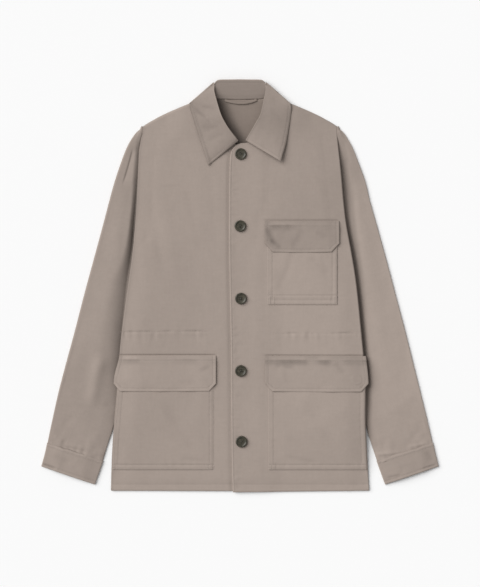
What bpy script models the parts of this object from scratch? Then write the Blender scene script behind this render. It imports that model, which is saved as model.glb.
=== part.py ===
"""A cotton field jacket laid flat on its back, buttoned, with its sleeves down at its sides.

Axes: +Z up out of the cloth, +Y from the hem to the collar, +X to the viewer's right.
The tables are in millimetres and every object is built in metres.
Pieces are named for the wearer's side, which is the other side to the viewer.
"""

import math

import bpy
import numpy as np

MM = 0.001

# Cloth thickness of each kind of piece.
BODY_T = 1.6
SLEEVE_T = 1.6
COLLAR_T = 2.0
CUFF_T = 2.0
POCKET_T = 1.4
FLAP_T = 2.0
LOOP_T = 1.0

# Clearance between pieces, and how far the layers stand apart inside.
SEAM_GAP = 0.45
BODY_PUFF = 1.7
SLEEVE_PUFF = 2.6

# Heights of the layers at the neck and over the sleeves.
COLLAR_LIFT = 2.5
SLEEVE_LIFT = 4.7
OVERLAP_LIFT = 2.3
NECK_BACK_Z = 3.4
NECK_FRONT_Z = 6.4

BUTTON_D = 23.0
BUTTON_T = 3.6
BUTTON_HOLE_D = 2.2

UNDERLAP_X = 26.0
HEM_Y = -409.0

# Edge of the body, armhole then side seam: height, x on the left, x on the right.
BODY_EDGE = (
    (318.0, -193.0, 193.0),
    (299.0, -196.5, 194.0),
    (275.0, -200.0, 196.5),
    (251.0, -201.7, 199.0),
    (215.0, -203.5, 202.5),
    (167.0, -206.0, 206.7),
    (119.0, -209.3, 212.5),
    (71.0, -213.5, 221.0),
    (23.0, -219.5, 229.0),
    (-25.0, -226.5, 235.0),
    (-97.0, -236.0, 242.0),
    (-145.0, -240.5, 246.5),
    (-205.0, -244.5, 250.0),
    (-265.0, -250.0, 250.0),
    (-309.0, -253.5, 252.0),
    (-357.0, -256.0, 254.5),
    (-409.0, -257.5, 257.5),
)

# Outer fold of a sleeve: height, x on the left, x on the right.
SLEEVE_OUTER = (
    (311.0, -201.0, 201.0),
    (303.0, -209.0, 210.0),
    (287.0, -219.5, 220.0),
    (271.0, -227.5, 228.0),
    (239.0, -239.5, 240.0),
    (207.0, -250.0, 250.0),
    (171.0, -260.0, 258.5),
    (123.0, -272.5, 272.0),
    (51.0, -292.0, 292.0),
    (-21.0, -311.5, 311.0),
    (-93.0, -330.0, 330.0),
    (-165.0, -349.5, 348.0),
    (-213.0, -362.0, 360.0),
    (-285.0, -378.0, 377.5),
    (-333.0, -388.0, 388.5),
    (-361.0, -395.5, 395.5),
)

# Inner fold of a sleeve, partly under the body.
SLEEVE_INNER = (
    (81.0, -213.2, 219.6),
    (66.0, -212.5, 220.0),
    (40.0, -209.0, 218.5),
    (-25.0, -216.5, 227.0),
    (-97.0, -227.0, 234.5),
    (-165.0, -235.5, 240.5),
    (-217.0, -241.0, 244.0),
    (-255.0, -247.0, 247.5),
    (-275.0, -251.2, 251.5),
    (-295.0, -257.0, 256.0),
    (-309.0, -262.0, 260.5),
    (-333.0, -269.5, 268.5),
    (-357.0, -277.0, 276.5),
    (-397.0, -291.0, 291.0),
)

# Rows of a sleeve: height at the outer fold, height at the inner edge.
# The first rows end on the armhole, and the tube closes at the underarm row.
SLEEVE_ROWS = (
    (309.0, 306.0),
    (298.0, 292.0),
    (283.0, 272.0),
    (264.0, 249.0),
    (240.0, 224.0),
    (212.0, 197.0),
    (181.0, 167.0),
    (147.0, 134.0),
    (120.0, 105.0),
    (103.0, 81.0),
    (88.0, 66.0),
    (64.0, 41.0),
    (34.0, 10.0),
    (-6.0, -31.0),
    (-48.0, -74.0),
    (-92.0, -120.0),
    (-134.0, -164.0),
    (-172.0, -204.0),
    (-208.0, -241.0),
    (-243.0, -278.0),
    (-279.0, -315.0),
    (-315.5, -351.0),
)
UNDERARM_ROW = 9

CUFF_ROWS = ((-316.5, -352.0), (-338.0, -374.0), (-361.0, -397.0))

# Neck line of a front: height on the side edge, x and y on the neck, as on the left half.
NECK_LINE = (
    (318.0, -66.0, 377.0),
    (293.0, -62.5, 354.0),
    (265.0, -53.5, 329.0),
    (238.0, -38.5, 304.5),
)
# The rest of a front's inner edge, below the neck: height on the side edge, x, y.
UNDERLAP_EDGE = (
    (214.0, -20.0, 288.5),
    (202.0, -5.0, 281.0),
    (190.0, 20.0, 277.0),
    (176.0, UNDERLAP_X, 262.0),
)
OVERLAP_EDGE = (
    (214.0, 16.0, 285.0),
    (205.0, 2.4, 283.4),
    (198.0, -6.8, 280.2),
    (190.0, -14.4, 271.8),
    (180.0, -18.2, 262.0),
)
# Rows further down run level: height on the side edge, x of the overlapping front edge.
FRONT_LEVELS = (
    (162.0, -20.0),
    (140.0, -20.5),
    (116.0, -21.0),
    (94.0, -21.0),
    (80.0, -21.0),
    (66.0, -21.0),
    (48.0, -20.5),
    (24.0, -20.3),
    (-10.0, -19.8),
    (-50.0, -19.0),
    (-92.0, -18.2),
    (-128.0, -17.6),
    (-156.0, -17.4),
    (-184.0, -17.2),
    (-212.0, -17.0),
    (-240.0, -16.8),
    (-266.0, -16.7),
    (-282.0, -16.6),
    (-292.0, -16.6),
    (-301.0, -16.5),
    (-310.0, -16.4),
    (-319.0, -16.2),
    (-328.0, -16.0),
    (-340.0, -15.8),
    (-366.0, -15.2),
    (-392.0, -14.6),
    (-409.5, -14.0),
)
FRONT_COLUMNS = {
    "right": (0.0, 0.03, 0.06, 0.09, 0.12, 0.155, 0.19, 0.23, 0.3, 0.42, 0.56, 0.7, 0.85, 1.0),
    "left": (0.0, 0.03, 0.06, 0.09, 0.12, 0.155, 0.19, 0.23, 0.3, 0.42, 0.56, 0.67, 0.73, 0.79, 0.9, 1.0),
}

# Top edge of the back: x, y.
BACK_TOP = (
    (-192.5, 317.0),
    (-186.0, 322.5),
    (-179.0, 327.0),
    (-172.0, 331.0),
    (-165.0, 335.0),
    (-157.0, 339.0),
    (-149.0, 343.0),
    (-128.0, 352.0),
    (-98.0, 362.5),
    (-66.0, 377.0),
    (-42.0, 371.5),
    (0.0, 370.5),
    (42.0, 371.5),
    (66.0, 377.0),
    (98.0, 362.5),
    (128.0, 352.0),
    (149.0, 343.0),
    (157.0, 339.0),
    (165.0, 335.0),
    (172.0, 331.0),
    (179.0, 327.0),
    (186.0, 322.5),
    (192.5, 317.0),
)
BACK_ROWS = (
    317.0, 303.0, 287.0, 268.0, 240.0, 205.0, 165.0, 125.0, 104.0, 95.0, 86.0, 76.0, 62.0, 40.0, 5.0,
    -40.0, -85.0, -130.0, -170.0, -210.0, -245.0, -270.0, -284.0, -293.0, -302.0, -311.0, -320.0,
    -330.0, -345.0, -375.0, -407.0,
)

# Stations of the collar from the front end to the centre of the back:
# neck seam x y, roll x y, outer edge x y, turn angle (90 in front, -90 behind),
# lift of the roll and of the outer edge off the front.
COLLAR_STATIONS = {
    "left": (
        (-4.0, 283.5, -4.6, 288.0, -63.0, 240.0, 90.0, 2.5, 3.0),
        (-12.0, 285.5, -9.5, 293.0, -67.0, 254.0, 90.0, 3.5, 2.6),
        (-20.5, 290.0, -18.0, 307.0, -74.0, 275.0, 90.0, 5.0, 2.0),
        (-38.0, 306.6, -27.5, 322.0, -84.0, 305.0, 90.0, 6.5, 1.2),
        (-52.6, 331.2, -37.0, 340.0, -92.0, 330.0, 90.0, 6.5, 0.6),
        (-61.6, 355.6, -47.3, 370.0, -98.0, 351.0, 90.0, 4.5, 0.2),
        (-64.3, 371.4, -52.5, 389.0, -100.0, 359.0, 90.0, 2.0, 0.0),
        (-66.5, 377.5, -53.5, 399.5, -99.5, 364.8, 90.0, 0.0, 0.0),
        (-66.5, 377.5, -53.5, 399.5, -99.5, 364.8, 60.0, 0.0, 0.0),
        (-66.5, 377.5, -53.5, 399.5, -99.5, 364.8, 30.0, 0.0, 0.0),
        (-66.5, 377.5, -53.5, 399.5, -99.5, 364.8, 0.0, 0.0, 0.0),
        (-66.5, 377.5, -53.5, 399.5, -99.5, 364.8, -30.0, 0.0, 0.0),
        (-66.5, 377.5, -53.5, 399.5, -99.5, 364.8, -60.0, 0.0, 0.0),
        (-66.5, 377.5, -53.5, 399.5, -99.5, 364.8, -90.0, 0.0, 0.0),
        (-60.0, 375.6, -50.0, 403.5, -93.0, 356.5, -90.0, 0.0, 0.0),
        (-51.0, 374.0, -44.0, 408.0, -78.0, 348.5, -90.0, 0.0, 0.0),
        (-41.0, 372.6, -36.0, 409.5, -58.0, 346.0, -90.0, 0.0, 0.0),
        (-21.0, 371.8, -19.0, 410.4, -30.0, 344.5, -90.0, 0.0, 0.0),
    ),
    "right": (
        (16.5, 287.5, 12.8, 288.5, 80.6, 247.6, 90.0, 2.5, 4.0),
        (20.5, 290.5, 17.0, 296.0, 84.0, 259.0, 90.0, 3.5, 3.2),
        (29.0, 298.0, 24.5, 308.5, 90.5, 281.0, 90.0, 5.0, 2.0),
        (38.0, 306.6, 32.5, 322.0, 95.5, 305.0, 90.0, 6.0, 1.2),
        (52.6, 331.2, 42.8, 341.0, 100.0, 331.0, 90.0, 6.0, 0.6),
        (61.6, 355.6, 49.0, 370.0, 102.0, 351.0, 90.0, 4.5, 0.2),
        (64.3, 371.4, 52.5, 389.0, 101.5, 359.0, 90.0, 2.0, 0.0),
        (66.5, 377.5, 53.0, 399.5, 99.5, 364.8, 90.0, 0.0, 0.0),
        (66.5, 377.5, 53.0, 399.5, 99.5, 364.8, 60.0, 0.0, 0.0),
        (66.5, 377.5, 53.0, 399.5, 99.5, 364.8, 30.0, 0.0, 0.0),
        (66.5, 377.5, 53.0, 399.5, 99.5, 364.8, 0.0, 0.0, 0.0),
        (66.5, 377.5, 53.0, 399.5, 99.5, 364.8, -30.0, 0.0, 0.0),
        (66.5, 377.5, 53.0, 399.5, 99.5, 364.8, -60.0, 0.0, 0.0),
        (66.5, 377.5, 53.0, 399.5, 99.5, 364.8, -90.0, 0.0, 0.0),
        (60.0, 375.6, 50.0, 403.5, 93.0, 356.5, -90.0, 0.0, 0.0),
        (51.0, 374.0, 44.5, 408.0, 78.0, 348.5, -90.0, 0.0, 0.0),
        (41.0, 372.6, 36.5, 409.5, 58.0, 346.0, -90.0, 0.0, 0.0),
        (21.0, 371.8, 19.0, 410.4, 30.0, 344.5, -90.0, 0.0, 0.0),
    ),
}
COLLAR_CENTRE = (0.0, 371.1, 0.0, 410.8, 0.0, 344.0, -90.0, 0.0, 0.0)
ROLL_R = 1.25

BUTTONS = ((1.4, 262.2), (0.6, 118.6), (1.8, -26.0), (1.6, -170.2), (3.0, -311.4))

# Hanger loop along the inside of the back neck: x, y.
LOOP_PATH = (
    (-30.0, 366.5),
    (-24.0, 364.0),
    (-14.0, 361.5),
    (-2.0, 359.8),
    (10.0, 360.4),
    (22.0, 363.4),
    (30.0, 367.0),
    (33.5, 369.5),
)
LOOP_W = 4.0

# Rows of the patch pockets, and columns as shares of their width.
CHEST_LEVELS = (112.0, 96.0, 80.0, 60.0, 40.0, 20.0, 0.0, -20.0, -38.0)
HIP_LEVELS = (
    -150.0, -172.0, -194.0, -216.0, -238.0, -258.0, -276.0, -288.0, -297.0, -306.0, -315.0, -324.0,
    -334.0, -348.0, -367.5,
)
EVEN_SHARES = (0.0, 0.08, 0.18, 0.3, 0.44, 0.58, 0.72, 0.86, 1.0)
SIDE_SHARES = (0.0, 0.035, 0.07, 0.105, 0.14, 0.175, 0.21, 0.26, 0.4, 0.6, 0.8, 0.92, 1.0)


WEARER = {"left": "right", "right": "left"}


def smooth(start, end, value):
    """0 before start, 1 after end, and an even rise between."""
    t = min(1.0, max(0.0, (value - start) / (end - start)))
    return t * t * (3.0 - 2.0 * t)


def edge_x(table, side, y):
    """Smooth x of an edge table at a height."""
    column = 1 if side == "left" else 2
    ys = [row[0] for row in reversed(table)]
    xs = [row[column] for row in reversed(table)]
    y = min(ys[-1], max(ys[0], y))
    k = min(len(ys) - 2, max(0, int(np.searchsorted(ys, y)) - 1))
    slopes = []
    for j in (k, k + 1):
        a = max(0, j - 1)
        b = min(len(ys) - 1, j + 1)
        slopes.append((xs[b] - xs[a]) / (ys[b] - ys[a]))
    h = ys[k + 1] - ys[k]
    t = (y - ys[k]) / h
    rise = (xs[k + 1] - xs[k]) * (3 * t * t - 2 * t**3)
    bend = slopes[0] * h * (t**3 - 2 * t * t + t) + slopes[1] * h * (t**3 - t * t)
    return xs[k] + rise + bend


def side_of(x):
    """Which half of the jacket, as the viewer sees it."""
    return "left" if x < 0 else "right"


def back_under(x, y):
    """Underside of the back: raised over the collar's fall and over the sleeves."""
    collar = smooth(132.0, 108.0, abs(x)) * smooth(316.0, 336.0, y)
    side = side_of(x)
    inner = abs(edge_x(SLEEVE_INNER, side, min(y, 66.0)))
    reach = smooth(inner - 44.0, inner - 3.0, abs(x))
    span = smooth(106.0, 82.0, y) * smooth(-338.0, -288.0, y)
    return COLLAR_LIFT * collar + SLEEVE_LIFT * reach * span


def back_mid(x, y):
    """Middle of the back's cloth."""
    return back_under(x, y) + BODY_T / 2


def front_gap(x, y):
    """Clear height between the back and a front."""
    edge = abs(edge_x(BODY_EDGE, side_of(x), y))
    inward = edge - abs(x)
    rim = SEAM_GAP + 1.15 * smooth(72.0, 110.0, y) * smooth(319.0, 278.0, y)
    seam = 377.0 - (abs(x) - 66.0) * 0.47
    below = max(0.0, seam - y)
    puff = BODY_PUFF * smooth(4.0, 46.0, inward) * smooth(0.0, 26.0, y - HEM_Y)
    puff *= smooth(2.0, 60.0, below)
    neck = 1.15 * smooth(100.0, 76.0, abs(x)) * smooth(330.0, 350.0, y)
    return max(rim, SEAM_GAP + max(neck, puff), 0.0)


def front_mid(side, x, y):
    """Middle of a front's cloth; the left front rides over the right one at the buttons."""
    z = back_under(x, y) + BODY_T + front_gap(x, y) + BODY_T / 2
    if side == "left":
        z += OVERLAP_LIFT * smooth(UNDERLAP_X + 38.0, UNDERLAP_X + 6.0, x)
    return z


def front_top(side, x, y):
    """Upper face of a front."""
    return front_mid(side, x, y) + BODY_T / 2


def finish(obj, colour):
    """Give an object its own plain material."""
    material = bpy.data.materials.new(obj.name + "_cloth")
    material.use_nodes = True
    shader = material.node_tree.nodes["Principled BSDF"]
    shader.inputs["Base Color"].default_value = (*colour, 1.0)
    shader.inputs["Roughness"].default_value = 0.85
    obj.data.materials.append(material)
    return obj


def mesh_object(parts, name, points, faces, colour):
    """A mesh object from points in millimetres."""
    mesh = bpy.data.meshes.new(name)
    mesh.from_pydata([(x * MM, y * MM, z * MM) for x, y, z in points], [], faces)
    mesh.update()
    obj = bpy.data.objects.new(name, mesh)
    parts.objects.link(obj)
    return finish(obj, colour)


def thicken(obj, thickness):
    """Even cloth thickness about the middle of the sheet."""
    solid = obj.modifiers.new("Thickness", "SOLIDIFY")
    solid.thickness = thickness * MM
    solid.offset = 0.0
    solid.use_rim = True
    return obj


def sheet(parts, name, rows, thickness, colour, closed_from=None):
    """A cloth sheet through rows of points; from closed_from on, a row's ends are one point."""
    width = len(rows[0])
    points = []
    index = []
    for r, row in enumerate(rows):
        line = []
        for c, point in enumerate(row):
            if closed_from is not None and r >= closed_from and c == width - 1:
                line.append(line[0])
                continue
            line.append(len(points))
            points.append(point)
        index.append(line)
    faces = []
    for r in range(len(rows) - 1):
        for c in range(width - 1):
            quad = (index[r][c], index[r + 1][c], index[r + 1][c + 1], index[r][c + 1])
            faces.append(quad)
    return thicken(mesh_object(parts, name, points, faces, colour), thickness)


def build_back(parts, colour):
    """The back, one sheet from the shoulders to the hem."""
    rows = []
    for y_row in BACK_ROWS:
        blend = smooth(190.0, 317.0, y_row)
        row = []
        for top_x, top_y in BACK_TOP:
            y_edge = min(y_row, 317.0)
            left = edge_x(BODY_EDGE, "left", y_edge) + 0.5
            right = edge_x(BODY_EDGE, "right", y_edge) - 0.5
            straight = left + (right - left) * (top_x + 192.5) / 385.0
            x = straight + (top_x - straight) * blend
            y = y_row + (top_y - 317.0) * blend
            y = max(y, HEM_Y + 1.5)
            row.append((x, y, back_mid(x, y)))
        rows.append(row)
    return sheet(parts, "back", rows, BODY_T, colour)


def front_rows(side):
    """Rows of a front: height on the side edge, x and y on the inner edge."""
    turn = 1.0 if side == "right" else -1.0
    rows = [(y_side, turn * x, y) for y_side, x, y in NECK_LINE]
    rows += UNDERLAP_EDGE if side == "right" else OVERLAP_EDGE
    lead = rows[-1][2] - rows[-1][0]
    drop = 3.0 if side == "left" else 1.0
    for y_side, overlap_x in FRONT_LEVELS:
        y = y_side + lead * smooth(-60.0, 180.0, y_side)
        y -= drop * smooth(-300.0, -400.0, y_side)
        rows.append((y_side, UNDERLAP_X if side == "right" else overlap_x, y))
    return rows


def build_front(parts, side, colour):
    """A front, from its shoulder seam to its hem, side edge to front edge."""
    edge_side = WEARER[side]
    rows = []
    for y_side, x_end, y_end in front_rows(side):
        x_start = edge_x(BODY_EDGE, edge_side, y_side)
        bow = 5.0 * smooth(255.0, 318.0, y_side)
        row = []
        for u in FRONT_COLUMNS[side]:
            x = x_start + (x_end - x_start) * u
            y = y_side + (y_end - y_side) * u + bow * math.sin(math.pi * u**0.8) * (1.0 - u * 0.4)
            row.append((x, y, front_mid(side, x, y)))
        rows.append(row)
    return sheet(parts, "front_" + side, rows, BODY_T, colour)


def tube_section(outer, inner, thickness, puff, lip, closed):
    """Points round a flattened tube from its upper inner end over to its lower inner end."""
    ox, oy = outer
    ix, iy = inner
    width = math.hypot(ox - ix, oy - iy)
    ux, uy = (ox - ix) / width, (oy - iy) / width
    low = thickness / 2
    fold = min(1.3, width * 0.3)
    start = fold if closed else 0.0
    path = []
    if closed:
        angles = (180.0, 135.0, 100.0)
        for angle in angles:
            a = math.radians(angle)
            path.append((fold + fold * math.cos(a), low + fold + fold * math.sin(a)))
    base = low + 2 * fold
    shares = (0.0, 0.06, 0.14, 0.26, 0.42, 0.6, 0.78, 0.92, 1.0)
    run = width - fold - start
    for share in shares:
        s = start + run * share
        swell = puff * smooth(lip, lip + 26.0, s) * smooth(0.0, 22.0, width - s)
        rise = 0.35 if not closed and s < 8.0 else 0.0
        path.append((s, base + swell + rise))
    for angle in (50.0, 0.0, -50.0):
        a = math.radians(angle)
        path.append((width - fold + fold * math.cos(a), low + fold + fold * math.sin(a)))
    for share in (1.0, 0.7, 0.35, 0.0):
        path.append((start + run * share, low))
    if closed:
        path.append((fold + fold * math.cos(math.radians(225.0)), low + fold * 0.29))
    return [(ix + ux * s, iy + uy * s, z) for s, z in path]


def build_sleeve(parts, side, colour):
    """A sleeve: open along the armhole, a closed flattened tube from the underarm down."""
    hand = -1.0 if side == "left" else 1.0
    rows = []
    for k, (y_out, y_in) in enumerate(SLEEVE_ROWS):
        outer = (edge_x(SLEEVE_OUTER, side, y_out), y_out)
        cap = k < UNDERARM_ROW
        if cap:
            inner = (edge_x(BODY_EDGE, side, y_in) + hand * (SEAM_GAP + 0.6), y_in)
        else:
            inner = (edge_x(SLEEVE_INNER, side, y_in), y_in)
        covered = 0.0 if cap else abs(edge_x(BODY_EDGE, side, y_in) - inner[0]) + 4.0
        puff = SLEEVE_PUFF * smooth(4.0, 40.0, abs(outer[0] - inner[0]))
        puff *= 1.0 - 0.5 * smooth(-275.0, -315.0, y_out)
        rows.append(tube_section(outer, inner, SLEEVE_T, puff, covered, True))
    if side == "right":
        rows = [list(reversed(row)) for row in rows]
    return sheet(parts, "sleeve_" + WEARER[side], rows, SLEEVE_T, colour, UNDERARM_ROW)


def build_cuff(parts, side, colour):
    """A cuff band: a flattened ring a little fuller than the sleeve it ends."""
    rows = []
    for y_out, y_in in CUFF_ROWS:
        hand = -1.0 if side == "left" else 1.0
        outer = (edge_x(SLEEVE_OUTER, side, y_out) + hand * 0.6, y_out)
        inner = (edge_x(SLEEVE_INNER, side, y_in) - hand * 0.4, y_in)
        rows.append(tube_section(outer, inner, CUFF_T, 0.9, 2.0, True)[:-1])
    rows = [row + [row[0]] for row in rows]
    if side == "right":
        rows = [list(reversed(row)) for row in rows]
    return sheet(parts, "cuff_" + WEARER[side], rows, CUFF_T, colour, 0)


def collar_section(station, side):
    """Points of the collar from the neck seam over the roll to the outer edge."""
    nx, ny, rx, ry, fx, fy, angle, roll_lift, edge_lift = station
    a = math.radians(angle)
    out = np.array([-0.61 if side == "left" else 0.61, 0.79])
    w = np.array([out[0] * math.cos(a), out[1] * math.cos(a), math.sin(a)])
    neck = np.array([nx, ny, 0.0])
    roll = np.array([rx, ry, 0.0])
    fall = np.array([fx, fy, 0.0])
    toward = roll - neck
    neck = neck + toward / np.linalg.norm(toward) * 0.6
    middle = (NECK_BACK_Z + NECK_FRONT_Z) / 2
    half = (NECK_FRONT_Z - NECK_BACK_Z) / 2
    cloth = WEARER[side]
    neck_z = middle
    fall_z = middle
    if angle > 89.0:
        level = front_mid(cloth, nx, ny)
        if ny < 376.0:
            settle = smooth(376.0, 340.0, ny)
            neck_z += (level - NECK_FRONT_Z) * settle
            lying = front_top(cloth, fx, fy) + COLLAR_T / 2 + 0.5 + edge_lift
            fall_z += (lying - (NECK_FRONT_Z + 2 * ROLL_R)) * settle
    neck += w * half + np.array([0, 0, neck_z])
    roll += w * (half + ROLL_R) + np.array([0, 0, neck_z + roll_lift])
    fall += w * (half + 2 * ROLL_R) + np.array([0, 0, fall_z])
    stand_end = roll - w * ROLL_R
    fall_start = roll + w * ROLL_R
    ahead = (stand_end - neck) / np.linalg.norm(stand_end - neck)
    away = (fall_start - fall) / np.linalg.norm(fall_start - fall)
    bulge = ahead + away
    bulge /= np.linalg.norm(bulge)
    path = [neck, neck + (stand_end - neck) * 0.5, stand_end]
    for turn in (-50.0, 0.0, 50.0):
        t = math.radians(turn)
        path.append(roll + w * ROLL_R * math.sin(t) + bulge * ROLL_R * math.cos(t))
    for share in (0.0, 0.25, 0.5, 0.75, 1.0):
        point = fall_start + (fall - fall_start) * share
        if angle > 89.0 and ny < 376.0:
            clear = front_top(cloth, point[0], point[1]) + COLLAR_T / 2 + SEAM_GAP
            point[2] = max(point[2], clear)
        path.append(point)
    return [tuple(float(v) for v in point) for point in path]


def build_collar(parts, colour):
    """The one-piece collar: stand, roll and fall, wrapped round the neck."""
    rows = [collar_section(s, "left") for s in COLLAR_STATIONS["left"]]
    rows.append(collar_section(COLLAR_CENTRE, "left"))
    rows += [collar_section(s, "right") for s in reversed(COLLAR_STATIONS["right"])]
    return sheet(parts, "collar", rows, COLLAR_T, colour)


def patch_rows(left, right, levels, shares, height):
    """Rows of a patch between two edge functions, z from a height function."""
    rows = []
    for y in levels:
        x0, x1 = left(y), right(y)
        rows.append([(x, y, height(x, y)) for x in [x0 + (x1 - x0) * u for u in shares]])
    return rows


def pocket_mid(side, x, y):
    """Middle of a patch pocket lying on a front."""
    return front_top(side, x, y) + SEAM_GAP + POCKET_T / 2


def build_pocket(parts, name, side, left, right, levels, shares, colour):
    """A patch pocket, its cloth following the front below it."""
    rows = patch_rows(left, right, levels, shares, lambda x, y: pocket_mid(side, x, y))
    return sheet(parts, name, rows, POCKET_T, colour)


def build_flap(parts, name, side, left, right, top, bottom, chamfer, shares, colour):
    """A pocket flap with clipped lower corners, stepping down onto the front at its top."""
    step = POCKET_T + SEAM_GAP

    def height(x, y):
        edge = edge_x(BODY_EDGE, WEARER[side], y)
        on = max(-abs(edge), min(abs(edge), x))
        base = front_top(side, on, y) + SEAM_GAP + FLAP_T / 2
        return base + step * smooth(top - 1.0, top - 8.0, y)

    rows = []
    levels = (0.0, 0.08, 0.17, 0.4, 0.7, 0.85, 1.0)
    for share in levels:
        y = top + (bottom - top) * share
        clip = 0.92 * max(0.0, chamfer - (y - bottom))
        x0 = left(y) + clip
        x1 = right(y) - clip
        row = []
        for u in shares:
            x = x0 + (x1 - x0) * u
            row.append((x, y, height(x, y)))
        rows.append(row)
    return sheet(parts, name, rows, FLAP_T, colour)


class Edge:
    """A straight side of a patch, or one that follows the side of the body.

    A followed side stays inset inwards and flares outwards by flare from y -138 to -188.
    """

    def __init__(self, x=0.0, table_side=None, inset=0.0, flare=0.0):
        self.x = x
        self.table_side = table_side
        self.inset = inset
        self.flare = flare

    def __call__(self, y):
        if self.table_side is None:
            return self.x
        edge = edge_x(BODY_EDGE, self.table_side, y)
        inward = self.inset - self.flare * smooth(-138.0, -188.0, y)
        return edge + (inward if edge < 0 else -inward)


def build_button(parts, number, x, y, colour):
    """A turned four-hole button with a raised rim."""
    radius = BUTTON_D / 2
    base = front_top("left", x, y) + SEAM_GAP
    profile = (
        (0.0, 0.0),
        (radius - 1.2, 0.0),
        (radius, 1.1),
        (radius, BUTTON_T - 0.9),
        (radius - 1.0, BUTTON_T),
        (radius - 2.6, BUTTON_T - 0.2),
        (radius - 3.8, BUTTON_T - 1.3),
        (0.0, BUTTON_T - 1.3),
    )
    turns = 20
    points = [(x, y, base)]
    rings = []
    for r, z in profile[1:-1]:
        ring = []
        for k in range(turns):
            a = 2 * math.pi * k / turns
            ring.append(len(points))
            points.append((x + r * math.cos(a), y + r * math.sin(a), base + z))
        rings.append(ring)
    top = len(points)
    points.append((x, y, base + profile[-1][1]))
    faces = []
    for k in range(turns):
        n = (k + 1) % turns
        faces.append((0, rings[0][n], rings[0][k]))
        faces.append((rings[-1][k], rings[-1][n], top))
        for lower, upper in zip(rings, rings[1:]):
            faces.append((lower[k], lower[n], upper[n], upper[k]))
    return mesh_object(parts, "button_" + str(number), points, faces, colour), base


def drill_button(button, cutters, x, y, base):
    """Four thread holes through a button."""
    for k in range(4):
        a = math.pi / 4 + k * math.pi / 2
        cx, cy = x + 2.4 * math.cos(a), y + 2.4 * math.sin(a)
        bpy.ops.mesh.primitive_cylinder_add(
            vertices=8,
            radius=BUTTON_HOLE_D / 2 * MM,
            depth=3 * BUTTON_T * MM,
            location=(cx * MM, cy * MM, (base + 1.0) * MM),
        )
        cutter = bpy.context.object
        cutter.name = button.name + "_hole_" + str(k + 1)
        for owner in list(cutter.users_collection):
            owner.objects.unlink(cutter)
        cutters.objects.link(cutter)
        cutter.hide_render = True
        cutter.display_type = "WIRE"
        cut = button.modifiers.new("Hole", "BOOLEAN")
        cut.operation = "DIFFERENCE"
        cut.solver = "EXACT"
        cut.object = cutter


def build_loop(parts, colour):
    """The hanger loop: a narrow strap lying inside the back neck."""
    rows = []
    for k, (x, y) in enumerate(LOOP_PATH):
        before = LOOP_PATH[max(0, k - 1)]
        after = LOOP_PATH[min(len(LOOP_PATH) - 1, k + 1)]
        dx, dy = after[0] - before[0], after[1] - before[1]
        length = math.hypot(dx, dy)
        nx, ny = -dy / length, dx / length
        row = []
        for share in (-0.5, 0.5):
            px, py = x + nx * LOOP_W * share, y + ny * LOOP_W * share
            z = back_under(px, py) + BODY_T + SEAM_GAP + LOOP_T / 2
            row.append((px, py, z))
        rows.append(row)
    return sheet(parts, "hanger_loop", rows, LOOP_T, colour)


def main():
    """Build every piece of the jacket."""
    for obj in list(bpy.data.objects):
        bpy.data.objects.remove(obj)
    scene = bpy.context.scene
    parts = bpy.data.collections.new("field_jacket")
    cutters = bpy.data.collections.new("cutters")
    scene.collection.children.link(parts)
    scene.collection.children.link(cutters)

    cloth = (0.352, 0.292, 0.255)
    inside = (0.25, 0.2, 0.17)
    horn = (0.07, 0.057, 0.04)

    build_back(parts, inside)
    for side in ("right", "left"):
        build_front(parts, side, cloth)
    for side in ("left", "right"):
        build_sleeve(parts, side, cloth)
        build_cuff(parts, side, cloth)
    build_collar(parts, cloth)

    chest = (Edge(55.0), Edge(193.0))
    build_pocket(parts, "chest_pocket", "left", *chest, CHEST_LEVELS, EVEN_SHARES, cloth)
    lid = (Edge(50.0), Edge(197.4))
    build_flap(parts, "chest_flap", "left", *lid, 128.0, 67.0, 17.0, EVEN_SHARES, cloth)

    hip = (Edge(table_side="left", inset=2.0), Edge(-51.4))
    build_pocket(parts, "hip_pocket_right", "right", *hip, HIP_LEVELS, SIDE_SHARES, cloth)
    lid = (Edge(table_side="left", flare=7.5), Edge(-48.0))
    build_flap(parts, "hip_flap_right", "right", *lid, -140.0, -210.5, 15.0, SIDE_SHARES, cloth)

    turned = tuple(1.0 - u for u in reversed(SIDE_SHARES))
    hip = (Edge(57.0), Edge(table_side="right", inset=2.0))
    build_pocket(parts, "hip_pocket_left", "left", *hip, HIP_LEVELS, turned, cloth)
    lid = (Edge(50.6), Edge(table_side="right", inset=-4.0, flare=1.5))
    build_flap(parts, "hip_flap_left", "left", *lid, -141.0, -211.0, 16.0, turned, cloth)

    for number, (x, y) in enumerate(BUTTONS, 1):
        button, base = build_button(parts, number, x, y, horn)
        drill_button(button, cutters, x, y, base)
    build_loop(parts, cloth)


main()
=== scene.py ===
"""Dresses a cotton field jacket that lies flat on its back.

The pattern of the jacket (edges, rows and heights) is in millimetres; every mesh is made in metres.
+Z is up out of the cloth, +Y runs from the hem to the collar, +X to the viewer's right.
"""

import logging
import math
from dataclasses import dataclass
from enum import Enum
from typing import Iterable, Optional, Sequence

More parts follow.
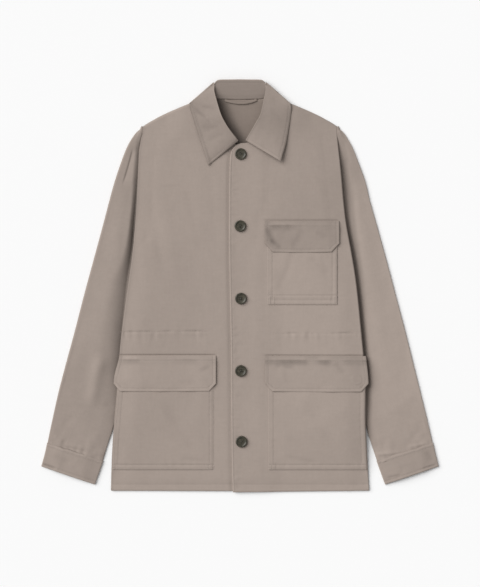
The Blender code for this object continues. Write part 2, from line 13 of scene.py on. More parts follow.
import bpy
import numpy as np
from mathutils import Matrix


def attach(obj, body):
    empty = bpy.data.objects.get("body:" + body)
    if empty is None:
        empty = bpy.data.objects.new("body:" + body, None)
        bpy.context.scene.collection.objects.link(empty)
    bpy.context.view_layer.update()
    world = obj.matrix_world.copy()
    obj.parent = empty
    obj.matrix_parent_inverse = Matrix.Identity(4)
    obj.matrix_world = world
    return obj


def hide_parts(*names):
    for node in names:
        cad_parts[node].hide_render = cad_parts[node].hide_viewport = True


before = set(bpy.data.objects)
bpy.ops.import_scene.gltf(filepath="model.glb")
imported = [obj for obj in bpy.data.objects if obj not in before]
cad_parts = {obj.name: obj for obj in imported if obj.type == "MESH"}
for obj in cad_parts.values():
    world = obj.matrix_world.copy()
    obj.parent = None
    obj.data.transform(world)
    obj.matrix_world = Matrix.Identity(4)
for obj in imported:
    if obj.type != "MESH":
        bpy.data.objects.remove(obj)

Array = np.ndarray
Triple = tuple[float, float, float]
Path = list[Triple]
Rows = Sequence[Sequence[float]]

LOG = logging.getLogger("field_jacket")
MM = 0.001
BODY = "root"


class Half(Enum):
    """A half of the jacket as the viewer sees it; the value is the sign of its x."""

    VIEWER_LEFT = -1
    VIEWER_RIGHT = 1

    @property
    def wearer(self) -> str:
        """The wearer's name for this half."""
        return "right" if self is Half.VIEWER_LEFT else "left"

    @property
    def sign(self) -> float:
        """The sign of x on this half."""
        return float(self.value)


class Slot(Enum):
    """The record's material slots."""

    TWILL = "cotton_twill"
    INSIDE = "cotton_inside"
    RESIN = "button_resin"


# --- number helpers ---


def smooth(start: float, end: float, value: Array) -> Array:
    """An even rise.

    Args:
        start: where the rise begins, at 0.
        end: where it ends, at 1.
        value: the places asked for.

    Returns:
        The height of the rise at each place, from 0 to 1.
    """
    t = np.clip((np.asarray(value, dtype=float) - start) / (end - start), 0, 1)
    return t * t * (3 - 2 * t)


def hump(distance: Array, width: float) -> Array:
    """A soft bump of height 1 at distance 0, about width wide to each side."""
    return np.exp(-((np.asarray(distance, dtype=float) / width) ** 2))


def curve(places: Sequence[float], values: Sequence[float], at: Array) -> Array:
    """A smooth curve through a short table.

    Args:
        places: where the table's rows are, rising or falling.
        values: the value at each row.
        at: the places asked for; past the ends the end values hold.

    Returns:
        The curve's value at each place.
    """
    xs = np.asarray(places, dtype=float)
    ys = np.asarray(values, dtype=float)
    if xs[0] > xs[-1]:
        xs, ys = xs[::-1], ys[::-1]
    slopes = np.empty_like(ys)
    slopes[1:-1] = (ys[2:] - ys[:-2]) / (xs[2:] - xs[:-2])
    slopes[0] = (ys[1] - ys[0]) / (xs[1] - xs[0])
    slopes[-1] = (ys[-1] - ys[-2]) / (xs[-1] - xs[-2])
    x = np.clip(np.asarray(at, dtype=float), xs[0], xs[-1])
    k = np.clip(np.searchsorted(xs, x) - 1, 0, len(xs) - 2)
    h = xs[k + 1] - xs[k]
    t = (x - xs[k]) / h
    rise = (ys[k + 1] - ys[k]) * (3 * t**2 - 2 * t**3)
    bend = slopes[k] * h * (t**3 - 2 * t**2 + t) + slopes[k + 1] * h * (t**3 - t**2)
    return ys[k] + rise + bend


def drift(x: Array, y: Array, size: float, seed: int) -> Array:
    """Slow random unevenness.

    Args:
        x: places across, in millimetres.
        y: places along, in millimetres.
        size: how far apart its highs and lows are.
        seed: which of the many such fields to use.

    Returns:
        Values from -1 to 1 that change smoothly from place to place.
    """
    u = np.asarray(x, dtype=float) / size
    v = np.asarray(y, dtype=float) / size
    i, j = np.floor(u), np.floor(v)
    fu, fv = u - i, v - j
    fu, fv = fu * fu * (3 - 2 * fu), fv * fv * (3 - 2 * fv)

    def corner(a: Array, b: Array) -> Array:
        """The random value at a grid corner."""
        wave = np.sin(a * 127.1 + b * 311.7 + seed * 74.7) * 43758.5453
        return (wave - np.floor(wave)) * 2 - 1

    low = corner(i, j) * (1 - fu) + corner(i + 1, j) * fu
    high = corner(i, j + 1) * (1 - fu) + corner(i + 1, j + 1) * fu
    return low * (1 - fv) + high * fv


def stops(low: float, high: float, step: float, fine: Iterable[Triple] = ()) -> Array:
    """Places along a line, closer together where the cloth has small form.

    Args:
        low: first place.
        high: last place.
        step: usual distance between places.
        fine: rows of centre, reach and the closer distance that holds there.

    Returns:
        The places, rising.
    """
    marks = [low]
    while marks[-1] < high:
        here = marks[-1]
        pace = step
        for centre, reach, close in fine:
            away = max(0, abs(here - centre) - reach)
            pace = min(pace, close + away * 0.3)
        marks.append(here + pace)
    found = np.array(marks)
    return low + (found - low) * (high - low) / (found[-1] - low)


def read(table: Rows, column: int, at: Array) -> Array:
    """One column of a table as a smooth curve over the table's first column."""
    return curve([row[0] for row in table], [row[column] for row in table], at)


def read_by_row(table: Rows, column: int, at: Array) -> Array:
    """One column of a table as a smooth curve over the numbers of its rows."""
    return curve(np.arange(len(table)), [row[column] for row in table], at)


def fold_arc(radius: float, *degrees: float) -> tuple[Array, Array]:
    """Points round the fold of a flattened tube.

    Args:
        radius: how round the fold is.
        degrees: the angle of each point, 0 outwards and 90 upwards.

    Returns:
        How far each point is outwards of the fold's middle, and how far above its foot.
    """
    angles = np.radians(degrees)
    return radius * np.cos(angles), radius + radius * np.sin(angles)


# --- nodes and finishes ---


def set_inputs(tree: bpy.types.NodeTree, node: bpy.types.Node, inputs: dict) -> None:
    """Gives inputs of a node their values, or links them to the sockets that feed them."""
    for key, value in inputs.items():
        if isinstance(value, bpy.types.NodeSocket):
            tree.links.new(value, node.inputs[key])
        else:
            node.inputs[key].default_value = value


def add_node(
    tree: bpy.types.NodeTree, kind: str, inputs: Optional[dict] = None, **options: object
) -> bpy.types.Node:
    """Adds a node.

    Args:
        tree: the tree that it goes into.
        kind: its type.
        inputs: a value or a feeding socket for each input, by name or number.
        options: its own settings.

    Returns:
        The node.
    """
    node = tree.nodes.new(kind)
    for option, value in options.items():
        setattr(node, option, value)
    set_inputs(tree, node, inputs or {})
    return node


def combine(tree: bpy.types.NodeTree, operation: str, *inputs: object) -> bpy.types.NodeSocket:
    """Adds a math node on the given inputs and gives its result."""
    node = add_node(tree, "ShaderNodeMath", dict(enumerate(inputs)), operation=operation)
    return node.outputs[0]


def new_material(
    name: str, inputs: dict
) -> tuple[bpy.types.Material, bpy.types.NodeTree, bpy.types.Node]:
    """Makes a material.

    Args:
        name: its name.
        inputs: values for its shader.

    Returns:
        The material, its nodes and its shader.
    """
    made = bpy.data.materials.new(name)
    made.use_nodes = True
    shader = made.node_tree.nodes["Principled BSDF"]
    set_inputs(made.node_tree, shader, inputs)
    return made, made.node_tree, shader


@dataclass(frozen=True)
class TwillFinish:
    """Fine garment-washed cotton twill: diagonal weave, slubs, soft mottling and a dry nap."""

    name: str
    colour: Triple
    roughness: float = 0.9
    sheen: float = 0.12
    sheen_roughness: float = 0.5
    specular: float = 0.25
    twill_pitch: float = 1.1
    weave_depth: float = 0.2
    weave_height: float = 0.3
    mottle: float = 0.05
    # How strongly the point attribute's painted shade and light, and its rubbed paleness, change
    # the colour.
    wear_and_shade_gain: float = 0.3

    def material(self, turn: float = 0) -> bpy.types.Material:
        """Builds the cloth's material.

        Args:
            turn: angle of the grain about Z, in degrees.

        Returns:
            The material, made once for each angle.
        """
        title = f"{self.name}_{turn:+.0f}"
        if title in bpy.data.materials:
            return bpy.data.materials[title]
        colour = (*self.colour, 1)
        made, tree, shader = new_material(title, {
            "Roughness": self.roughness,
            "Sheen Weight": self.sheen,
            "Sheen Roughness": self.sheen_roughness,
            "Sheen Tint": colour,
            "Specular IOR Level": self.specular,
        })
        place = add_node(tree, "ShaderNodeTexCoord").outputs["Object"]
        turned = {"Vector": place, "Rotation": (0, 0, math.radians(turn))}
        grain = add_node(tree, "ShaderNodeMapping", turned).outputs["Vector"]
        scale = 2 * math.pi / (10 * math.sqrt(2) * self.twill_pitch * MM)
        twill = add_node(
            tree,
            "ShaderNodeTexWave",
            {"Vector": grain, "Scale": scale, "Distortion": 1.2, "Detail": 1},
            wave_type="BANDS",
            bands_direction="DIAGONAL",
        ).outputs["Fac"]
        slub = self._noise(tree, grain, 900, 3, (1, 0.22, 1))
        warp = self._noise(tree, grain, 240, 2, (1, 0.13, 1))
        weft = self._noise(tree, grain, 230, 2, (0.15, 1, 1))
        fleck = self._noise(tree, grain, 170, 2)
        cloud = self._noise(tree, grain, 14, 3)
        blotch = self._noise(tree, grain, 62, 2)
        # Painted shade and light: each piece's point attribute darkens the cloth in valleys,
        # grooves, creases and along edges, and lightens turns that face away from the sun; on seam
        # ridges it is rubbed paleness.
        wear_and_shade_level = add_node(tree, "ShaderNodeAttribute", attribute_name="wear_and_shade").outputs["Fac"]
        shares = (
            (twill, 0.7), (slub, 1.1), (warp, 1), (weft, 1), (fleck, 1.4), (cloud, 1.4),
            (blotch, 1.1), (wear_and_shade_level, self.wear_and_shade_gain / self.mottle),
        )
        shade: Optional[bpy.types.NodeSocket] = None
        for source, share in shares:
            gain = self.mottle * share
            centred = combine(tree, "MULTIPLY_ADD", source, gain, -0.5 * gain)
            shade = centred if shade is None else combine(tree, "ADD", shade, centred)
        level = combine(tree, "ADD", shade, 1)
        tone = add_node(tree, "ShaderNodeHueSaturation", {"Color": colour, "Value": level})
        bump = add_node(tree, "ShaderNodeBump", {
            "Strength": self.weave_depth,
            "Distance": self.weave_height * MM,
            "Height": combine(tree, "ADD", twill, slub),
        })
        set_inputs(tree, shader, {
            "Base Color": tone.outputs["Color"], "Normal": bump.outputs["Normal"],
        })
        return made

    @staticmethod
    def _noise(
        tree: bpy.types.NodeTree,
        place: bpy.types.NodeSocket,
        scale: float,
        detail: float,
        stretch: Triple = (1, 1, 1),
    ) -> bpy.types.NodeSocket:
        """Adds one noise texture.

        Args:
            tree: the material's nodes.
            place: where it reads its place from.
            scale: its cells to a metre.
            detail: how many finer layers it has.
            stretch: how much closer its cells are along each axis.

        Returns:
            The socket with its value.
        """
        laid = add_node(tree, "ShaderNodeMapping", {"Vector": place, "Scale": stretch})
        noise = {"Vector": laid.outputs["Vector"], "Scale": scale, "Detail": detail}
        return add_node(tree, "ShaderNodeTexNoise", noise).outputs["Fac"]


@dataclass(frozen=True)
class ResinFinish:
    """Cast button resin with a faint swirl."""

    name: str
    dark: Triple
    light: Triple
    roughness: float = 0.42
    specular: float = 0.45

    def material(self) -> bpy.types.Material:
        """Builds the resin's material, once."""
        if self.name in bpy.data.materials:
            return bpy.data.materials[self.name]
        surface = {"Roughness": self.roughness, "Specular IOR Level": self.specular}
        made, tree, shader = new_material(self.name, surface)
        place = add_node(tree, "ShaderNodeTexCoord").outputs["Object"]
        swirl = {"Vector": place, "Scale": 210, "Detail": 4, "Distortion": 1.6}
        noise = add_node(tree, "ShaderNodeTexNoise", swirl)
        ramp = add_node(tree, "ShaderNodeValToRGB", {"Fac": noise.outputs["Fac"]})
        ends = zip(ramp.color_ramp.elements, (0.38, 0.68), (self.dark, self.light))
        for element, position, colour in ends:
            element.position = position
            element.color = (*colour, 1)
        set_inputs(tree, shader, {"Base Color": ramp.outputs["Color"]})
        return made


@dataclass(frozen=True)
class ThreadFinish:
    """Spun sewing thread."""

    name: str
    colour: Triple

    def material(self) -> bpy.types.Material:
        """Builds the thread's material, once."""
        if self.name in bpy.data.materials:
            return bpy.data.materials[self.name]
        made, tree, shader = new_material(self.name, {"Roughness": 0.7, "Sheen Weight": 0.2})
        place = add_node(tree, "ShaderNodeTexCoord").outputs["Object"]
        ply = add_node(tree, "ShaderNodeTexNoise", {"Vector": place, "Scale": 700})
        spread = {"Value": ply.outputs["Fac"], "To Min": 0.85, "To Max": 1.15}
        level = add_node(tree, "ShaderNodeMapRange", spread).outputs["Result"]
        tone = {"Color": (*self.colour, 1), "Value": level}
        dyed = add_node(tree, "ShaderNodeHueSaturation", tone).outputs["Color"]
        set_inputs(tree, shader, {"Base Color": dyed})
        return made


CLOTH = TwillFinish("washed_twill", (0.352, 0.292, 0.255))
INNER_FACE = TwillFinish("twill_inside", (0.245, 0.2, 0.171))
RESIN = ResinFinish("horn_resin", (0.026, 0.024, 0.015), (0.075, 0.066, 0.045))
SEAM_THREAD = ThreadFinish("seam_thread", (0.375, 0.315, 0.275))
BUTTON_THREAD = ThreadFinish("button_thread", (0.05, 0.045, 0.032))


# --- meshes ---


def put(name: str, data: bpy.types.ID) -> bpy.types.Object:
    """Puts an object with the given data into the scene, at the origin."""
    made = bpy.data.objects.new(name, data)
    bpy.context.scene.collection.objects.link(made)
    return made


def shade_smooth(mesh: bpy.types.Mesh) -> None:
    """Shades every face smoothly."""
    mesh.polygons.foreach_set("use_smooth", np.ones(len(mesh.polygons), dtype=bool))


def settle(name: str, carrier: bpy.types.Object) -> bpy.types.Object:
    """Makes a plain piece of an object with live modifiers, which is removed.

    Args:
        name: the piece's name.
        carrier: the object with the modifiers.

    Returns:
        The new object.
    """
    bpy.context.view_layer.update()
    graph = bpy.context.evaluated_depsgraph_get()
    mesh = bpy.data.meshes.new_from_object(carrier.evaluated_get(graph), depsgraph=graph)
    mesh.name = name
    bpy.data.objects.remove(carrier)
    return put(name, mesh)


def mesh_piece(
    name: str,
    points: Array,
    faces: Array,
    material: bpy.types.Material,
    wear_and_shade: Optional[Array] = None,
    under: Optional[bpy.types.Material] = None,
    over: int = 0,
) -> bpy.types.Object:
    """Makes a smooth-shaded piece from quads.

    Args:
        name: the piece's name.
        points: places in millimetres, one row each.
        faces: four point numbers a row, wound outwards.
        material: its finish.
        wear_and_shade: the painted shade and light at each point, from 0 in a groove to 1 on a
            ridge, with some rubbed paleness.
        under: another finish for the faces after the first ones.
        over: how many faces keep the first finish.

    Returns:
        The new object, at the origin.
    """
    mesh = bpy.data.meshes.new(name)
    mesh.vertices.add(len(points))
    mesh.vertices.foreach_set("co", (np.asarray(points) * MM).astype(np.float32).ravel())
    mesh.loops.add(faces.size)
    mesh.loops.foreach_set("vertex_index", faces.astype(np.int32).ravel())
    mesh.polygons.add(len(faces))
    mesh.polygons.foreach_set("loop_start", np.arange(0, faces.size, 4, dtype=np.int32))
    mesh.update(calc_edges=True)
    shade_smooth(mesh)
    # Stores the painted shade and light, with the rubbed paleness, for the cloth material to read.
    if wear_and_shade is not None:
        layer = mesh.attributes.new("wear_and_shade", "FLOAT", "POINT")
        layer.data.foreach_set("value", np.clip(wear_and_shade, -1.5, 1.5).astype(np.float32))
    mesh.materials.append(material)
    if under is not None:
        mesh.materials.append(under)
        beyond = (np.arange(len(faces)) >= over).astype(np.int32)
        mesh.polygons.foreach_set("material_index", beyond)
    return put(name, mesh)


@dataclass
class Cloth:
    """A sheet of cloth as quads through the middle of its wall, in millimetres."""

    points: Array
    quads: Array
    # Painted shade and light at each point, with some rubbed paleness.
    wear_and_shade: Array

    @classmethod
    def from_grid(cls, grid: Array, wear_and_shade: Array, closed_from: Optional[int] = None) -> "Cloth":
        """Makes a sheet of a grid of points.

        Args:
            grid: rows of points along the cloth, each row across it.
            wear_and_shade: the painted shade and light at each point.
            closed_from: the row from which a row's last point is its first one, as on a tube.

        Returns:
            The sheet.
        """
        rows, columns = grid.shape[:2]
        index = np.arange(rows * columns).reshape(rows, columns)
        if closed_from is not None:
            index[closed_from:, -1] = index[closed_from:, 0]
        kept, fresh = np.unique(index, return_inverse=True)
        index = fresh.reshape(rows, columns)
        quads = np.stack(
            [index[:-1, :-1], index[1:, :-1], index[1:, 1:], index[:-1, 1:]], axis=-1
        ).reshape(-1, 4)
        return cls(grid.reshape(-1, 3)[kept], quads, wear_and_shade.reshape(-1)[kept])

    def area(self) -> float:
        """The sheet's own area in square metres."""
        a, b, c, d = (self.points[self.quads[:, k]] for k in range(4))
        return float(np.linalg.norm(np.cross(c - a, d - b), axis=1).sum() / 2) * MM * MM

    def normals(self) -> Array:
        """The unit normal at each point."""
        a, b, c, d = (self.points[self.quads[:, k]] for k in range(4))
        facing = np.cross(c - a, d - b)
        total = np.zeros_like(self.points)
        for k in range(4):
            np.add.at(total, self.quads[:, k], facing)
        return total / np.maximum(np.linalg.norm(total, axis=1, keepdims=True), 1e-12)

    def rim(self) -> Array:
        """Edges of the sheet that have a face on one side only, as rows of two point numbers."""
        edges = np.concatenate([self.quads[:, [k, (k + 1) % 4]] for k in range(4)])
        keys = edges.min(axis=1).astype(np.int64) * (len(self.points) + 1) + edges.max(axis=1)
        _, first, count = np.unique(keys, return_index=True, return_counts=True)
        return edges[first[count == 1]]

    def shell(
        self,
        name: str,
        thickness: float,
        material: bpy.types.Material,
        under: Optional[bpy.types.Material] = None,
    ) -> bpy.types.Object:
        """Gives the sheet its wall, with a rounded edge all round.

        Args:
            name: the piece's name.
            thickness: the wall, in millimetres.
            material: its finish.
            under: the finish of its edge and lower face, where it is another.

        Returns:
            The closed piece.
        """
        normals = self.normals()
        count = len(self.points)
        rim = self.rim()
        outward = np.zeros_like(self.points)
        along = self.points[rim[:, 1]] - self.points[rim[:, 0]]
        along /= np.maximum(np.linalg.norm(along, axis=1, keepdims=True), 1e-12)
        for k in range(2):
            np.add.at(outward, rim[:, k], np.cross(along, normals[rim[:, k]]))
        edge_points = np.unique(rim)
        out = outward[edge_points]
        out /= np.maximum(np.linalg.norm(out, axis=1, keepdims=True), 1e-12)
        number = np.full(count, -1)
        number[edge_points] = np.arange(len(edge_points)) + 2 * count
        upper = self.points + normals * thickness / 2
        lower = self.points - normals * thickness / 2
        middle = self.points[edge_points] + out * thickness * 0.42
        a, b = rim[:, 0], rim[:, 1]
        faces = np.concatenate([
            self.quads,
            self.quads[:, ::-1] + count,
            np.stack([b, a, number[a], number[b]], axis=1),
            np.stack([number[b], number[a], a + count, b + count], axis=1),
        ])
        points = np.concatenate([upper, lower, middle])
        # Painted shade: every point round the rounded edge is darker by 0.5.
        wear_and_shade = np.concatenate([self.wear_and_shade, self.wear_and_shade, self.wear_and_shade[edge_points] - 0.5])
        return mesh_piece(name, points, faces, material, wear_and_shade, under, len(self.quads))


def dress(piece: bpy.types.Object, slot: Slot, *nodes: str) -> bpy.types.Object:
    """Parents a piece to the body's empty and hides the CAD nodes that it stands for.

    Args:
        piece: the finished piece.
        slot: the record's slot for the piece; not used.
        nodes: the CAD nodes that it stands for, if any.

    Returns:
        The piece.
    """
    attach(piece, BODY)
    if nodes:
        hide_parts(*nodes)
    return piece


# --- stitching ---


@dataclass(frozen=True)
class Stitching:
    """A kind of stitch row, laid along paths by one shared tree of geometry nodes."""

    name: str
    pitch: float
    length: float
    width: float
    seed: int = 1

    def rows(
        self, name: str, paths: Sequence[Path], thread: bpy.types.Material
    ) -> bpy.types.Object:
        """Lays stitches along paths.

        Args:
            name: the piece's name.
            paths: lines of points in millimetres.
            thread: the thread's material.

        Returns:
            One plain mesh with every stitch of the rows.
        """
        points = np.array([p for path in paths for p in path], dtype=float) * MM
        edges: list[tuple[int, int]] = []
        start = 0
        for path in paths:
            edges += [(start + k, start + k + 1) for k in range(len(path) - 1)]
            start += len(path)
        line = bpy.data.meshes.new(name + "_line")
        line.from_pydata(points.tolist(), edges, [])
        carrier = put(name + "_line", line)
        tree = self._tree()
        maker = carrier.modifiers.new("Stitches", "NODES")
        maker.node_group = tree
        settings = {
            "Pitch": self.pitch * MM,
            "Length": self.length * MM,
            "Width": self.width * MM,
            "Seed": self.seed,
            "Thread": thread,
        }
        for socket in tree.interface.items_tree:
            if socket.in_out == "INPUT" and socket.name in settings:
                maker[socket.identifier] = settings[socket.name]
        piece = settle(name, carrier)
        shade_smooth(piece.data)
        return piece

    @staticmethod
    def _tree() -> bpy.types.NodeTree:
        """Builds the tree that sets stitches along a line, once.

        Returns:
            The geometry node tree with inputs Pitch, Length, Width, Seed and Thread.
        """
        if "stitch_row" in bpy.data.node_groups:
            return bpy.data.node_groups["stitch_row"]
        tree = bpy.data.node_groups.new("stitch_row", "GeometryNodeTree")
        sockets = (
            ("Geometry", "INPUT", "Geometry"),
            ("Pitch", "INPUT", "Float"),
            ("Length", "INPUT", "Float"),
            ("Width", "INPUT", "Float"),
            ("Seed", "INPUT", "Int"),
            ("Thread", "INPUT", "Material"),
            ("Geometry", "OUTPUT", "Geometry"),
        )
        for label, side, kind in sockets:
            tree.interface.new_socket(label, in_out=side, socket_type="NodeSocket" + kind)
        given = add_node(tree, "NodeGroupInput").outputs
        line = add_node(tree, "GeometryNodeMeshToCurve", {"Mesh": given["Geometry"]})
        along = {"Curve": line.outputs["Curve"], "Length": given["Pitch"]}
        spaced = add_node(tree, "GeometryNodeResampleCurve", along, mode="LENGTH")
        facets = {"Segments": 6, "Rings": 4, "Radius": 0.5}
        bead = add_node(tree, "GeometryNodeMeshUVSphere", facets)
        sizes = {"X": given["Width"], "Y": given["Width"], "Z": given["Length"]}
        stretch = add_node(tree, "ShaderNodeCombineXYZ", sizes)
        shaped = add_node(tree, "GeometryNodeTransform", {
            "Geometry": bead.outputs["Mesh"], "Scale": stretch.outputs["Vector"],
        })
        tangent = {"Vector": add_node(tree, "GeometryNodeInputTangent").outputs["Tangent"]}
        turn = add_node(tree, "FunctionNodeAlignRotationToVector", tangent, axis="Z")
        spread = {"Min": 0.88, "Max": 1.08, "Seed": given["Seed"]}
        uneven = add_node(tree, "FunctionNodeRandomValue", spread, data_type="FLOAT")
        laid = add_node(tree, "GeometryNodeInstanceOnPoints", {
            "Points": spaced.outputs["Curve"],
            "Instance": shaped.outputs["Geometry"],
            "Rotation": turn.outputs["Rotation"],
            "Scale": next(s for s in uneven.outputs if s.enabled),
        })
        loose = {"Geometry": laid.outputs["Instances"]}
        real = add_node(tree, "GeometryNodeRealizeInstances", loose)
        finish = add_node(tree, "GeometryNodeSetMaterial", {
            "Geometry": real.outputs["Geometry"], "Material": given["Thread"],
        })
        add_node(tree, "NodeGroupOutput", {"Geometry": finish.outputs["Geometry"]})
        return tree


TOPSTITCH = Stitching("topstitch", pitch=3.3, length=2.7, width=0.62)
BARTACK = Stitching("bartack", pitch=0.85, length=1.5, width=0.95, seed=3)


# --- the jacket's pattern ---


@dataclass(frozen=True)
class EdgeTable:
    """Where an edge runs: rows of height, x on the viewer's left, x on the viewer's right."""

    rows: tuple[Triple, ...]

    def at(self, half: Half, y: Array) -> Array:
        """Signed x of the edge on one half at a height."""
        return read(self.rows, 1 if half is Half.VIEWER_LEFT else 2, y)

    def reach(self, x: Array, y: Array) -> Array:
        """How far out the edge is at a height, on whichever half x lies."""
        left = np.abs(self.at(Half.VIEWER_LEFT, y))
        right = np.abs(self.at(Half.VIEWER_RIGHT, y))
        return np.where(np.asarray(x) < 0, left, right)


BODY_EDGE = EdgeTable((
    (318, -193, 193), (299, -196.5, 194), (275, -200, 196.5), (251, -201.7, 199),
    (215, -203.5, 202.5), (167, -206, 206.7), (119, -209.3, 212.5), (71, -213.5, 221),
    (23, -219.5, 229), (-25, -226.5, 235), (-97, -236, 242), (-145, -240.5, 246.5),
    (-205, -244.5, 250), (-265, -250, 250), (-309, -253.5, 252), (-357, -256, 254.5),
    (-409, -257.5, 257.5),
))
SLEEVE_OUTER = EdgeTable((
    (311, -201, 201), (303, -209, 208.4), (287, -219.5, 218.2), (271, -227.5, 226.3),
    (239, -239.5, 238.6), (207, -250, 250), (171, -260, 258.5), (123, -272.5, 272),
    (51, -292, 292), (-21, -311.5, 311), (-93, -330, 330), (-165, -349.5, 348), (-213, -362, 360),
    (-285, -378, 377.5), (-333, -388, 388.5), (-361, -395.5, 395.5),
))
SLEEVE_INNER = EdgeTable((
    (81, -213.2, 219.6), (66, -212.5, 220), (40, -209, 218.5), (-25, -216.5, 227),
    (-97, -227, 234.5), (-165, -235.5, 240.5), (-217, -241, 244), (-255, -247, 247.5),
    (-275, -251.2, 251.5), (-295, -257, 256), (-309, -262, 260.5), (-333, -269.5, 268.5),
    (-357, -277, 276.5), (-397, -291, 291),
))

# Rows across a sleeve: height at the outer fold, height at the inner edge.
SLEEVE_ROWS = (
    (309, 306), (298, 292), (283, 272), (264, 249), (240, 224), (212, 197), (181, 167),
    (147, 134), (120, 105), (103, 81), (88, 66), (64, 41), (34, 10), (-6, -31), (-48, -74),
    (-92, -120), (-134, -164), (-172, -204), (-208, -241), (-243, -278), (-279, -315),
    (-315.5, -351),
)
ROW_PITCH = 36
UNDERARM_ROW = 9
LAST_ROW = len(SLEEVE_ROWS) - 1
CUFF_ROWS = ((-316.5, -352), (-338, -374), (-361, -397))

# Inner edge of a front: height on the side edge, x and y on the inner edge.
NECK_LINE = (
    (318, -66, 377), (293, -62.5, 354), (265, -53.5, 329), (238, -38.5, 304.5),
)
UNDERLAP_X = 26
UNDERLAP_EDGE = (
    (214, -20, 288.5), (202, -5, 281), (190, 20, 277), (176, UNDERLAP_X, 262),
)
OVERLAP_EDGE = (
    (214, 16, 285), (205, 2.4, 283.4), (198, -6.8, 280.2), (190, -14.4, 271.8), (180, -18.2, 262),
)
# The overlapping front edge further down: height, x.
PLACKET_EDGE = (
    (262, -18.2), (240, -20), (170, -21), (66, -21), (-10, -19.8), (-128, -17.6), (-266, -16.7),
    (-366, -15.2), (-412.5, -14),
)
HEM_Y = -409
SHOULDER_Y = 318
WAIST_DRIFT = (60, 11)
# A sleeve's slant in degrees, which the grain follows.
SLEEVE_SLANT = 14.5
# Clear height between a sewn-on layer and the cloth below it, and how high stitches lie.
CLEARANCE = 0.3
STITCH_LIFT = 0.05
# How far in a clipped corner goes for each millimetre up.
CLIP_SLOPE = 0.92

# Top edge of the back: x and y on one half.
BACK_TOP = (
    (0, 370.5), (42, 371.5), (66, 377), (98, 362.5), (128, 352), (149, 343), (172, 331),
    (192.5, 317),
)

BUTTON_PLACES = ((1.4, 262.2), (0.6, 118.6), (1.8, -26), (1.6, -170.2), (3, -311.4))

# Hanger loop along the inside of the back neck: x, y.
LOOP_PATH = (
    (-30, 370), (-24, 368), (-14, 365.6), (-2, 364.2), (10, 364.4), (22, 366.6), (30, 369.4),
    (33.5, 371),
)


@dataclass(frozen=True)
class Layers:
    """Heights of the body's layers over the floor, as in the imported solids."""

    wall: float = 1.6
    seam_gap: float = 0.45
    puff: float = 1.7
    collar_lift: float = 2.5
    sleeve_lift: float = 4.7
    overlap_lift: float = 2.3

    def back_under(self, x: Array, y: Array) -> Array:
        """Underside of the back.

        Args:
            x: places across.
            y: places along.

        Returns:
            Its height: raised over the collar's fall and over the sleeves.
        """
        collar = smooth(150, 108, np.abs(x)) * smooth(284, 342, y)
        inner = SLEEVE_INNER.reach(x, np.minimum(y, 66))
        reach = smooth(0, 150, np.abs(x) - inner + 153)
        span = smooth(140, 60, y) * smooth(-405, -268, y)
        return self.collar_lift * collar + self.sleeve_lift * reach * span

    def front_gap(self, x: Array, y: Array) -> Array:
        """Clear height between the back and a front.

        Args:
            x: places across.
            y: places along.

        Returns:
            The gap, wider in the middle, along the armhole and at the neck.
        """
        inward = BODY_EDGE.reach(x, y) - np.abs(x)
        rim = self.seam_gap + 1.15 * smooth(72, 110, y) * smooth(319, 278, y)
        below = np.maximum(0, 377 - (np.abs(x) - 66) * 0.47 - y)
        puff = self.puff * smooth(4, 46, inward) * smooth(0, 26, y - HEM_Y)
        puff = puff * smooth(2, 60, below)
        neck = 1.15 * smooth(100, 76, np.abs(x)) * smooth(330, 350, y)
        return np.maximum(rim, self.seam_gap + np.maximum(neck, puff))

    def front_mid(self, half: Half, x: Array, y: Array) -> Array:
        """Middle of a front's cloth; the viewer's right one rides over the other at the buttons."""
        z = self.back_under(x, y) + self.wall * 1.5 + self.front_gap(x, y)
        if half is Half.VIEWER_RIGHT:
            z = z + self.overlap_lift * smooth(UNDERLAP_X + 64, UNDERLAP_X + 4, x)
        return z


LAYERS = Layers()


@dataclass(frozen=True)
class Fold:
    """A soft crease laid between two places; a trough where its height is negative."""

    x0: float
    y0: float
    x1: float
    y1: float
    height: float
    width: float
    bow: float = 0
    steep: float = 0.3
    lean: float = 0

    def relief(self, x: Array, y: Array) -> Array:
        """Height that the fold adds.

        Args:
            x: places across.
            y: places along.

        Returns:
            The added height, fading at both ends.
        """
        dx, dy = self.x1 - self.x0, self.y1 - self.y0
        length = math.hypot(dx, dy)
        along = ((x - self.x0) * dx + (y - self.y0) * dy) / length**2
        across = ((x - self.x0) * dy - (y - self.y0) * dx) / length
        t = np.clip(along, 0, 1)
        away = (across - self.bow * 4 * t * (1 - t)) / self.width
        away = away / (1 + self.lean * np.tanh(away))
        ends = smooth(-0.06, 0.22, along) * smooth(1.06, 0.74, along)
        return self.height * np.exp(-(away**2)) * (1 + self.steep * np.tanh(away)) * ends


def add_folds(folds: Sequence[Fold], x: Array, y: Array) -> Array:
    """The height of several folds together."""
    total = np.zeros(np.broadcast(x, y).shape)
    for fold in folds:
        total = total + fold.relief(x, y)
    return total


@dataclass(frozen=True)
class SeamLine:
    """A stitched line seen across it: a groove with a ridge beside it and puckers along it."""

    inset: float
    depth: float = 0.4
    ridge: float = 0.3
    width: float = 1.3
    pucker: float = 0.22
    pitch: float = 5.5
    seed: int = 5

    def relief(self, inward: Array, along: Array) -> Array:
        """Height that the seam adds.

        Args:
            inward: distance from the cloth's edge.
            along: distance along the seam.

        Returns:
            The added height.
        """
        groove = -self.depth * hump(inward - self.inset, self.width)
        welt = self.ridge * hump(inward - self.inset * 0.45, max(1.2, self.inset * 0.42))
        wave = drift(along, 0, self.pitch, self.seed)
        spread = hump(inward - self.inset, self.width * 3.2)
        return groove + welt + self.pucker * wave * spread

    def wear_and_shade(self, inward: Array) -> Array:
        """Beside the seam: paler rubbing on the ridge and painted shade in the groove."""
        pale = 0.2 * hump(inward - self.inset * 0.45, max(1.2, self.inset * 0.42))
        return pale - 0.3 * hump(inward - self.inset, self.width * 1.2)


# --- body panels ---


